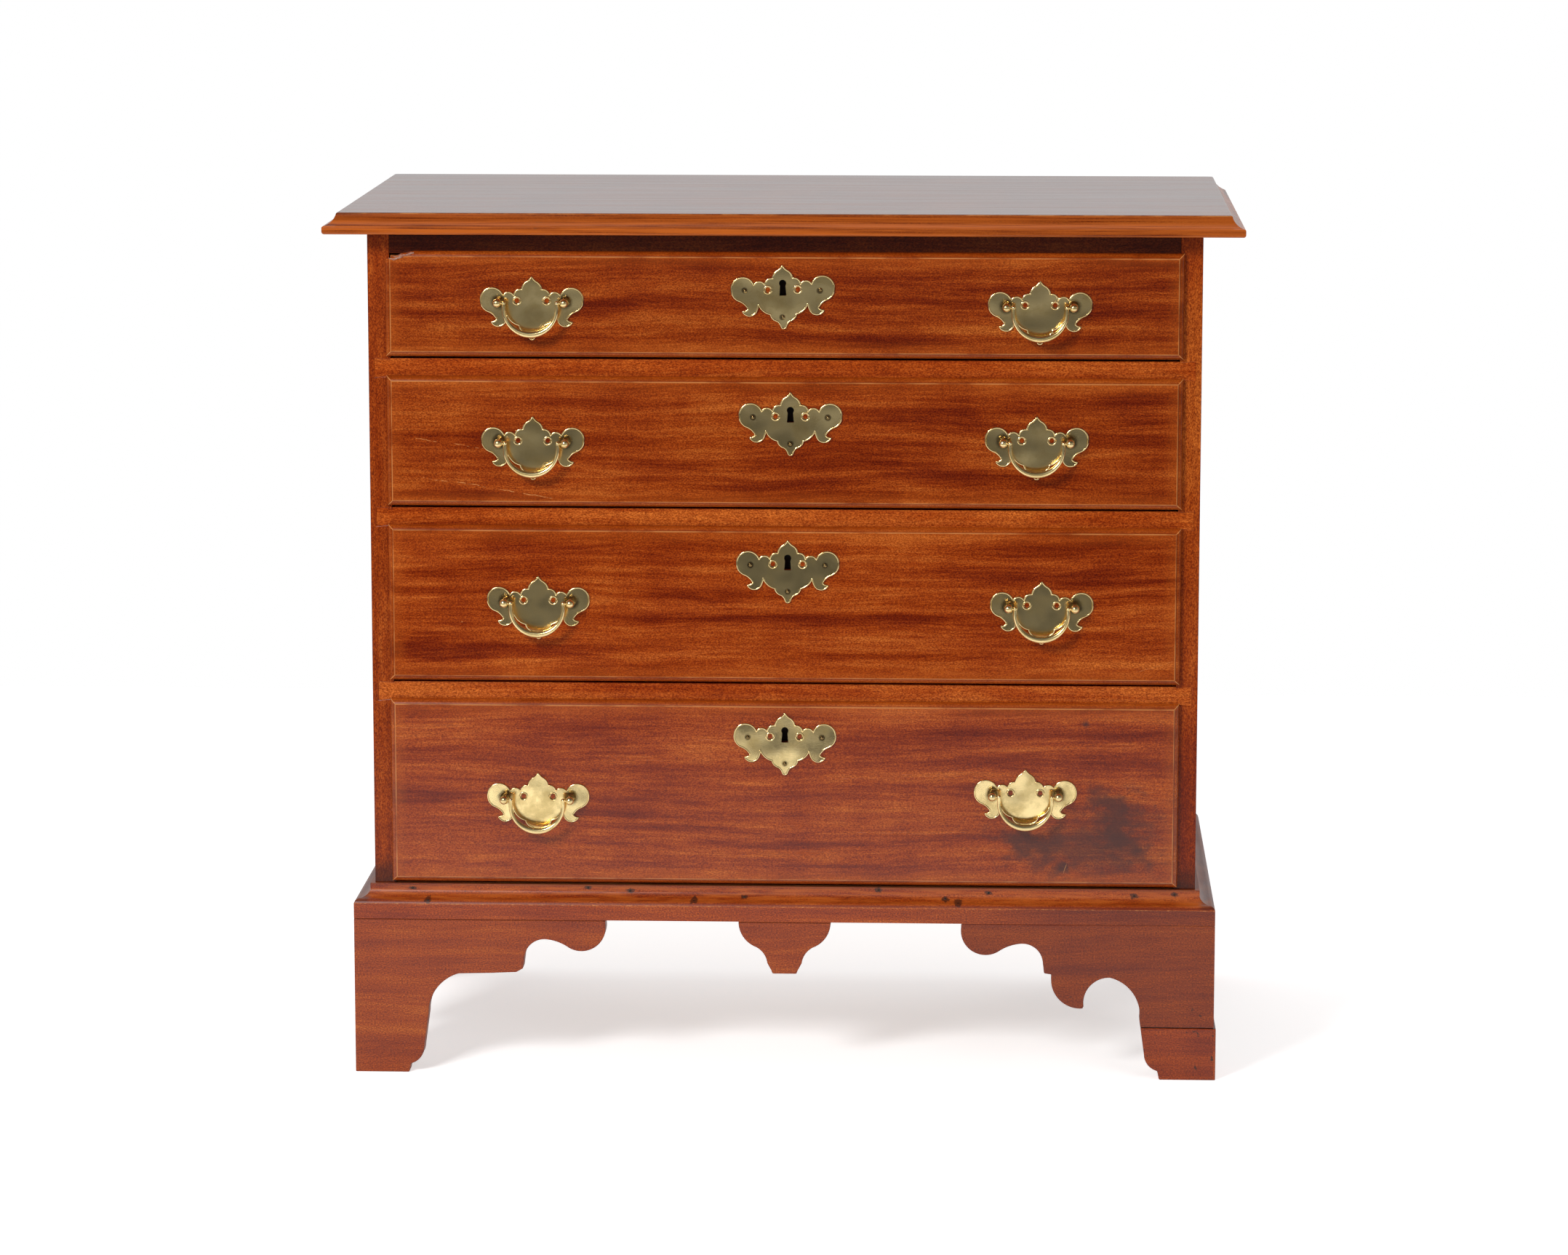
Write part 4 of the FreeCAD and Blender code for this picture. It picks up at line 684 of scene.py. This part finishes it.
# Dark and pale patches that the eye follows on each drawer front, in millimetres
FIGURE = {
    1: [
        Patch(-348, 801, 80, 10, 0.06), Patch(-185, 783, 50, 10, 0.08), Patch(-96, 819, 90, 9, 0.05),
        Patch(119, 815, 110, 9, 0.06), Patch(355, 793, 85, 60, 0.06), Patch(119, 754, 60, 12, 0.07),
        Patch(-101, 766, 90, 18, -0.06), Patch(-348, 757, 80, 14, -0.04),
    ],
    2: [
        Patch(-300, 598, 130, 10, 0.09), Patch(-151, 623, 85, 13, 0.09), Patch(-2, 610, 130, 8, 0.07),
        Patch(151, 618, 65, 16, 0.10), Patch(151, 672, 80, 18, 0.06), Patch(359, 683, 60, 14, 0.06),
        Patch(-81, 652, 90, 22, -0.06), Patch(-351, 673, 70, 25, -0.05),
    ],
    3: [
        Patch(246, 520, 190, 14, 0.08), Patch(-75, 494, 50, 28, 0.05), Patch(-142, 483, 60, 15, 0.06),
        Patch(-283, 436, 150, 12, 0.09), Patch(15, 470, 110, 8, 0.07), Patch(119, 469, 40, 12, 0.08),
        Patch(66, 429, 230, 25, -0.05), Patch(38, 497, 80, 22, -0.05), Patch(-250, 537, 130, 10, 0.05),
    ],
    4: [
        Patch(-285, 344, 70, 9, 0.06), Patch(-159, 329, 80, 14, 0.05), Patch(-348, 283, 70, 8, 0.10),
        Patch(-170, 273, 55, 12, 0.07), Patch(-112, 259, 90, 8, 0.07), Patch(-7, 240, 110, 10, 0.07),
        Patch(167, 249, 70, 10, 0.07), Patch(240, 337, 130, 40, 0.04), Patch(-301, 222, 130, 22, -0.05),
        Patch(93, 277, 110, 20, -0.05), Patch(-91, 356, 80, 16, -0.03),
    ],
}

# The same along the right side, whose grain runs up: height, depth, length, width and strength
RIGHT_FIGURE = [Patch(700, -231, 170, 60, -0.11), Patch(270, -231, 140, 60, 0.08)]

# How bright each front is, how far its figure is moved from the last one's, and its stains and scratches
FRONT_TONES = {1: 0.83, 2: 0.87, 3: 0.95, 4: 0.94}
FRONT_SHIFT = (2.7, 1.3, 0.0)
STAINS = {
    4: [
        Patch(285, 219, 15, 15, 0.95), Patch(338, 264, 34, 40, 0.75), Patch(300, 240, 80, 24, 0.55),
        Patch(250, 246, 40, 14, 0.55), Patch(310, 245, 120, 60, 0.4), Patch(306, 366, 5, 5, 0.9),
    ],
}
SCRATCHES = {
    2: [Scratch(-371, 655, -283, 640, 0.6), Scratch(-371, 615, -231, 595, 0.7)],
    3: [Scratch(348, 417, 393, 431, 0.25), Scratch(-331, 465, -325, 467, 0.8)],
    4: [Scratch(287, 224, 284, 212, 0.5)],
}

# Base: its mitres, the flat under its moulding, the splice in its right foot, and its nails in millimetres
BASE_MITRE_DEPTH = 52.1 * MM
FOOT_MITRE_DEPTH = 20.1 * MM
FASCIA_HEIGHT = 15.5 * MM
SPLICE_HEIGHT = 54.5 * MM
NAILS = (
    (-380, 190), (-363, 180), (-200, 192), (-157, 189), (-91, 181), (-40, 184),
    (97, 192), (165, 184), (178, 181), (209, 190), (357, 188), (398, 190),
)


def dress_case():
    """The finishes of the case and its base."""
    front_grain = straight("xzy")
    side_grain = straight("zyx")
    # The top's darker tone is partly painted shade, for the little light that falls on it
    top = mahogany("top mahogany", straight("xyz"), (3.1, 0.4, 0.0), tone=0.5, varnish=TOP_VARNISH,
                   marks=top_marks)
    dress("top_board", top)
    left = mahogany("left mahogany", side_grain, (1.7, 2.2, 0.0), tone=0.87, contrast=0.7, marks=side_marks)
    dress("left_side", left)
    right = mahogany("right mahogany", side_grain, (5.3, 1.2, 0.0), tone=0.93, contrast=0.5,
                     bands=RIGHT_FIGURE, marks=side_marks)
    dress("right_side", right)
    # The rails under the top's overhang are darkened as painted shade
    dress("top_rails", mahogany("rail mahogany with painted shade", front_grain, (2.9, 0.7, 0.0), tone=0.3))
    blade = mahogany("blade mahogany", front_grain, (6.1, 3.3, 0.0), tone=1.05, warmth=0.06, contrast=0.8)
    dress("drawer_blades", blade)
    base = mahogany("base mahogany", mitred(BASE_MITRE_DEPTH), (4.4, 1.9, 0.0), contrast=0.7,
                    varnish=WORN_VARNISH, marks=base_marks)
    dress("base_moulding", base)
    left_foot = mahogany("left foot mahogany", mitred(FOOT_MITRE_DEPTH), (8.2, 5.7, 0.0), tone=0.9,
                         warmth=0.02, contrast=0.6, varnish=WORN_VARNISH, marks=seam_marks)
    for name in ("front_left_foot", "rear_left_foot", "rear_right_foot", "apron_pendant"):
        dress(name, left_foot)
    right_foot = mahogany("right foot mahogany", mitred(FOOT_MITRE_DEPTH), (1.2, 7.7, 0.0), tone=0.72,
                          contrast=0.6, varnish=WORN_VARNISH, marks=foot_marks)
    dress("front_right_foot", right_foot)
    dress("bottom_board", pine("bottom pine", straight("xyz"), (1.0, 2.0, 0.0)))
    back_grain = boarded("back_boards", BACK_BOARD_COUNT)
    dress("back_boards", pine("back pine", back_grain, (2.0, 5.0, 0.0), marks=back_marks))
    runner = pine("runner pine", straight("yxz"), (7.0, 1.0, 0.0))
    dress("drawer_runners", runner)
    dress("foot_blocks", runner)
    dress("case_fasteners", iron("fastener iron"))


def dress_drawers():
    """The finishes of the drawers, each cut from its own board."""
    bail = brass("bail brass", CLEAN_BRASS, DULL_BRASS, BAIL_POLISH)
    post = brass("post brass", CLEAN_BRASS, DULL_BRASS, BAIL_POLISH, marks=post_marks)
    lock = iron("lock iron")
    side = pine("drawer side pine", straight("yzx"), (3.0, 9.0, 0.0))
    across = pine("drawer back pine", straight("xzy"), (5.0, 4.0, 0.0))
    bottom = pine("drawer bottom pine", straight("xyz"), (9.0, 7.0, 0.0))
    finishes = {"sides": side, "back": across, "bottom": bottom, "pull_posts": post, "left_bail": bail,
                "right_bail": bail, "lock": lock, "lock_bolt": lock}
    for number in range(1, DRAWER_COUNT + 1):
        drawer = f"drawer_{number}"
        front = f"{drawer}_front"
        marks = drawer_marks(front, STAINS.get(number, []), SCRATCHES.get(number, []))
        own = tuple(number * step for step in FRONT_SHIFT)
        varnish = HAZY_VARNISH if number == DRAWER_COUNT else BRIGHT_VARNISH
        dress(front, mahogany(f"{front} mahogany", straight("xzy"), own, tone=FRONT_TONES[number],
                              varnish=varnish, bands=FIGURE[number], marks=marks))
        for piece, material in finishes.items():
            dress(f"{drawer}_{piece}", material)
        plate = brass(f"{drawer} plate brass", CLEAN_BRASS, DULL_BRASS, PLATE_POLISH,
                      marks=plate_marks(drawer))
        dress(f"{drawer}_pull_plates", plate)
        dress(f"{drawer}_escutcheon", plate)
        rolled_edges(drawer, plate)


def ease_edges():
    """Rounds the edges that hands and years have worn."""
    for name in ("front_left_foot", "front_right_foot", "rear_left_foot", "rear_right_foot", "apron_pendant"):
        soften(name, FOOT_EASE)
    for name in ("left_side", "right_side", "top_rails", "drawer_blades", "back_boards"):
        soften(name, CASE_EASE)


def add_piece(name, vertices, faces, material, body):
    """A mesh that rides on a body of the chest."""
    mesh = bpy.data.meshes.new(name)
    mesh.from_pydata(vertices, [], faces)
    mesh.materials.append(material)
    for polygon in mesh.polygons:
        polygon.use_smooth = True
    piece = bpy.data.objects.new(name, mesh)
    bpy.context.scene.collection.objects.link(piece)
    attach(piece, body)


# What counts as the flat front of a brass plate: how its faces are turned, and how level they lie
FRONT_FACING = -0.99
DEPTH_DIGITS = 5
FLAT_DEPTH = 0.02 * MM


def front_outlines(node):
    """The closed outlines of the flat front of a brass plate, round the plate and round each of its holes."""
    mesh = nodes[node].data
    depths = defaultdict(float)
    for polygon in mesh.polygons:
        if polygon.normal.y < FRONT_FACING:
            depths[round(polygon.center.y, DEPTH_DIGITS)] += polygon.area
    front = max(depths, key=depths.get)
    uses = Counter()
    for polygon in mesh.polygons:
        if polygon.normal.y < FRONT_FACING and abs(polygon.center.y - front) < FLAT_DEPTH:
            uses.update(polygon.edge_keys)
    nearby = defaultdict(set)
    for start, end in (edge for edge, count in uses.items() if count == 1):
        nearby[start].add(end)
        nearby[end].add(start)
    outlines = []
    while nearby:
        outline = [min(nearby)]
        while outline[-1] in nearby:
            ahead = nearby.pop(outline[-1]) - set(outline[-2:])
            outline.append(min(ahead, default=outline[0]))
        outlines.append([mesh.vertices[index].co.copy() for index in outline[:-1]])
    return outlines


# Rolled rims, and the widths that tell plates and eyelets from the other holes
RIM_RADIUS = 0.85 * MM
RIM_SINK = 0.35 * MM
RIM_SIDES = 8
PLATE_WIDTH = 40 * MM
EYELET_WIDTH = 7.8 * MM
EYELET_SLACK = 0.3 * MM

# Where posts and pins stand on a plate, from its peak: across, down and how far the dirt and painted shade
# round them reaches
POST_SEATS = ((-33.5, 25.0, 8.0), (33.5, 25.0, 8.0))
PIN_SEATS = ((-37.7, 25.0, 3.4), (37.7, 25.0, 3.4), (0.0, 51.9, 3.4))


def outline_width(outline):
    """How wide an outline is."""
    return max(point.x for point in outline) - min(point.x for point in outline)


def rolled_edges(drawer, material):
    """The rolled rims of a drawer's brass plates and of the eyelets in them."""
    vertices = []
    faces = []
    for node in (f"{drawer}_pull_plates", f"{drawer}_escutcheon"):
        for outline in front_outlines(node):
            width = outline_width(outline)
            if width < PLATE_WIDTH and abs(width - EYELET_WIDTH) > EYELET_SLACK:
                continue
            count = len(outline)
            first = len(vertices)
            for index, point in enumerate(outline):
                run = outline[(index + 1) % count] - outline[index - 1]
                across = Vector((run.z, 0.0, -run.x)).normalized()
                for side in range(RIM_SIDES):
                    angle = 2 * math.pi * side / RIM_SIDES
                    swing = Vector((0.0, RIM_SINK - RIM_RADIUS * math.sin(angle), 0.0))
                    vertices.append(point + across * (RIM_RADIUS * math.cos(angle)) + swing)
                    here = first + index * RIM_SIDES
                    ahead = first + (index + 1) % count * RIM_SIDES
                    turn = (side + 1) % RIM_SIDES
                    faces.append((here + side, here + turn, ahead + turn, ahead + side))
    add_piece(f"{drawer}_rolled_edges", vertices, faces, material, drawer)


NAIL_RADIUS = 1.5 * MM
NAIL_DOME = 0.25 * MM
NAIL_SIDES = 10

# Rings of a nail head, as shares of its radius and of its dome, and how far in front a line to it starts
NAIL_RINGS = ((0.6, 0.8), (1.0, -0.5))
LINE_START_Y = -1.0


def struck(node, x, z):
    """Where a line from straight in front meets a node, and the way that the surface faces there."""
    _, place, normal, _ = nodes[node].ray_cast(Vector((x, LINE_START_Y, z)), Vector((0.0, 1.0, 0.0)))
    return place, normal


def nail_heads():
    """Old nail heads, sunk in the base moulding."""
    vertices = []
    faces = []
    for x, z in NAILS:
        place, normal = struck("base_moulding", x * MM, z * MM)
        across = normal.orthogonal().normalized()
        along = normal.cross(across)
        first = len(vertices)
        vertices.append(place + normal * NAIL_DOME)
        for share, height in NAIL_RINGS:
            for side in range(NAIL_SIDES):
                angle = 2 * math.pi * side / NAIL_SIDES
                swing = across * math.cos(angle) + along * math.sin(angle)
                vertices.append(place + swing * (share * NAIL_RADIUS) + normal * (height * NAIL_DOME))
        for side in range(NAIL_SIDES):
            here = first + 1 + side
            ahead = first + 1 + (side + 1) % NAIL_SIDES
            faces.append((first, here, ahead))
            faces.append((here, here + NAIL_SIDES, ahead + NAIL_SIDES, ahead))
    add_piece("base_nail_heads", vertices, faces, iron("nail iron"), "case")


# The break in the top drawer's lip, along its slope, in millimetres
BREAK_START = Vector((-392.0, 0.0, 835.4))
BREAK_END = Vector((-371.5, 0.0, 842.2))

# Splinters on it: their length, thickness and lean in millimetres, and their rise as a share of the length
SPLINTERS = 26
SPLINTER_SEED = 5
SPLINTER_LENGTH = (2.5, 6.5)
SPLINTER_THICKNESS = (0.5, 1.0)
SPLINTER_LEAN = (0.0, 0.8)
SPLINTER_RISE = (-0.1, 0.35)
SPLINTER_FLATNESS = 0.8
SPLINTER_ROOT = 0.6 * MM
SPLINTER_DROP = 1.2 * MM
SPLINTER_TONES = ((0.35, MAHOGANY_MID), (0.55, RAW_WOOD))
SPLINTER_TURNS = (200.0, 900.0, 900.0)
SPLINTER_ROUGHNESS = 0.8


def splinters():
    """Raw fibres that stand up along the break in the top drawer's lip."""
    graph = Graph("raw wood")
    fibre = graph.noise(graph.place, SPLINTER_TURNS)
    graph.surface({"Base Color": graph.ramp(fibre, SPLINTER_TONES), "Roughness": SPLINTER_ROUGHNESS})
    chance = random.Random(SPLINTER_SEED)
    vertices = []
    faces = []
    for index in range(SPLINTERS):
        root = BREAK_START.lerp(BREAK_END, (index + chance.random()) / SPLINTERS) * MM
        root, _ = struck("drawer_1_front", root.x, root.z - SPLINTER_DROP)
        length = chance.uniform(*SPLINTER_LENGTH) * MM
        lean = chance.uniform(*SPLINTER_LEAN) * MM
        rise = chance.uniform(*SPLINTER_RISE) * length
        tip = root + Vector((-length, -lean, rise))
        thick = chance.uniform(*SPLINTER_THICKNESS) * MM
        first = len(vertices)
        for y, z in ((-1, -1), (1, -1), (1, 1), (-1, 1)):
            vertices.append(root + Vector((SPLINTER_ROOT, SPLINTER_FLATNESS * y * thick, z * thick)))
        vertices.append(tip)
        faces.extend((first + side, first + (side + 1) % 4, first + 4) for side in range(4))
        faces.append((first + 3, first + 2, first + 1, first))
    add_piece("lip_splinters", vertices, faces, graph.material, "drawer_1")


# Studio: the floor, and how bright the room is to reflections and as soft light, by direction
WHITE = (1.0, 1.0, 1.0, 1.0)
FLOOR_WHITE = (0.92, 0.92, 0.92, 1.0)
FLOOR_HALF_WIDTH = 2.0
FLOOR_FRONT = -1.88
FLOOR_BACK = 2.0
FLOOR_GLOW = 0.55
FLOOR_SHEEN = 0.22
STUDIO_LOW = 0.08
STUDIO_HIGH = 0.44
CEILING = 0.10
BACKDROP = 0.66
AMBIENT_FRONT = 0.21
AMBIENT_BACK = 0.55
HORIZON = (-0.135, -0.03)
CEILING_RISE = (0.2, 0.5)
BACKDROP_TURN = (-0.1, 0.2)
AMBIENT_TURN = (0.0, 0.5)


def studio_floor():
    """A white sheet that ends in front of the chest and keeps the chest's shadow."""
    mesh = bpy.data.meshes.new("floor")
    corners = [(-FLOOR_HALF_WIDTH, FLOOR_FRONT, 0), (FLOOR_HALF_WIDTH, FLOOR_FRONT, 0),
               (FLOOR_HALF_WIDTH, FLOOR_BACK, 0), (-FLOOR_HALF_WIDTH, FLOOR_BACK, 0)]
    mesh.from_pydata(corners, [], [(0, 1, 2, 3)])
    floor = bpy.data.objects.new("floor", mesh)
    bpy.context.scene.collection.objects.link(floor)
    graph = Graph("floor white")
    path = graph.add("ShaderNodeLightPath").outputs
    reflected = graph.math("MAXIMUM", path["Is Glossy Ray"], path["Is Transmission Ray"])
    glow = graph.math("MULTIPLY", path["Is Camera Ray"], FLOOR_GLOW)
    glow = graph.math("MULTIPLY_ADD", reflected, FLOOR_SHEEN, glow)
    graph.surface({"Base Color": FLOOR_WHITE, "Roughness": 1.0, "Specular IOR Level": 0.0,
                   "Emission Color": WHITE, "Emission Strength": glow})
    mesh.materials.append(graph.material)


def studio_world():
    """White behind the chest, and the grey of a studio where the photographer stands."""
    world = bpy.data.worlds.new("studio")
    bpy.context.scene.world = world
    world.use_nodes = True
    tree = world.node_tree
    background = tree.nodes["Background"]
    path = tree.nodes.new("ShaderNodeLightPath").outputs
    place = tree.nodes.new("ShaderNodeTexCoord").outputs["Generated"]

    def add(kind, values, **settings):
        node = tree.nodes.new(kind)
        for name, value in settings.items():
            setattr(node, name, value)
        for socket, value in values:
            if isinstance(value, bpy.types.NodeSocket):
                tree.links.new(value, node.inputs[socket])
            else:
                node.inputs[socket].default_value = value
        return node.outputs[0]

    direction = tree.nodes.new("ShaderNodeSeparateXYZ")
    tree.links.new(place, direction.inputs[0])
    _, back, up = direction.outputs[:3]
    studio = add("ShaderNodeMapRange", enumerate((up, *HORIZON, STUDIO_LOW, STUDIO_HIGH)))
    studio = add("ShaderNodeMapRange", enumerate((up, *CEILING_RISE, studio, CEILING)))
    backdrop = add("ShaderNodeMapRange", enumerate((back, *BACKDROP_TURN, studio, BACKDROP)))
    reflected = add("ShaderNodeMath", enumerate((path["Is Glossy Ray"], path["Is Transmission Ray"])),
                    operation="MAXIMUM")
    ambient = add("ShaderNodeMapRange", enumerate((back, *AMBIENT_TURN, AMBIENT_FRONT, AMBIENT_BACK)))
    level = add("ShaderNodeMix", [(0, reflected), (2, ambient), (3, backdrop)])
    level = add("ShaderNodeMix", [(0, path["Is Camera Ray"]), (2, level), (3, 1.0)])
    tree.links.new(level, background.inputs["Strength"])
    background.inputs["Color"].default_value = WHITE


def softbox(name, place, aim, width, height, power, mirrored=False):
    """A soft rectangular lamp that faces a point, seen in reflections or kept out of them."""
    data = bpy.data.lights.new(name, "AREA")
    data.shape = "RECTANGLE"
    data.size = width
    data.size_y = height
    data.energy = power
    lamp = bpy.data.objects.new(name, data)
    bpy.context.scene.collection.objects.link(lamp)
    lamp.location = place
    lamp.rotation_mode = "QUATERNION"
    lamp.rotation_quaternion = (Vector(aim) - Vector(place)).to_track_quat("-Z", "Y")
    lamp.visible_camera = False
    lamp.visible_glossy = mirrored


def studio_lamps():
    """A key from the upper left, a weaker fill from the right and soft lights over and behind the chest."""
    floor = (0.0, 0.0, 0.0)
    middle = (0.0, -0.2, 0.45)
    softbox("key", place=(-1.7, -3.2, 2.4), aim=middle, width=1.0, height=0.9, power=100, mirrored=True)
    softbox("fill", place=(2.4, -3.0, 1.9), aim=middle, width=1.6, height=1.6, power=26)
    softbox("overhead", place=(0.0, 0.4, 3.4), aim=floor, width=3.0, height=2.4, power=22)
    softbox("rear", place=(2.8, 3.0, 2.6), aim=middle, width=2.0, height=1.6, power=16)


# Camera: where it stands, how many degrees it looks down and to the left, and its lens in millimetres
CAMERA_PLACE = (0.222, -5.405, 1.320)
CAMERA_PITCH = 9.384
CAMERA_YAW = 2.448
CAMERA_LENS = 119.3
SENSOR_WIDTH = 36.0


def photographer():
    """The camera at the photograph's viewing angle."""
    data = bpy.data.cameras.new("camera")
    data.sensor_width = SENSOR_WIDTH
    data.lens = CAMERA_LENS
    camera = bpy.data.objects.new("camera", data)
    bpy.context.scene.collection.objects.link(camera)
    camera.location = CAMERA_PLACE
    camera.rotation_euler = (math.radians(90 - CAMERA_PITCH), 0.0, math.radians(CAMERA_YAW))
    bpy.context.scene.camera = camera


dress_case()
dress_drawers()
ease_edges()
nail_heads()
splinters()
studio_floor()
studio_world()
studio_lamps()
photographer()
bpy.context.scene.view_settings.view_transform = "Standard"
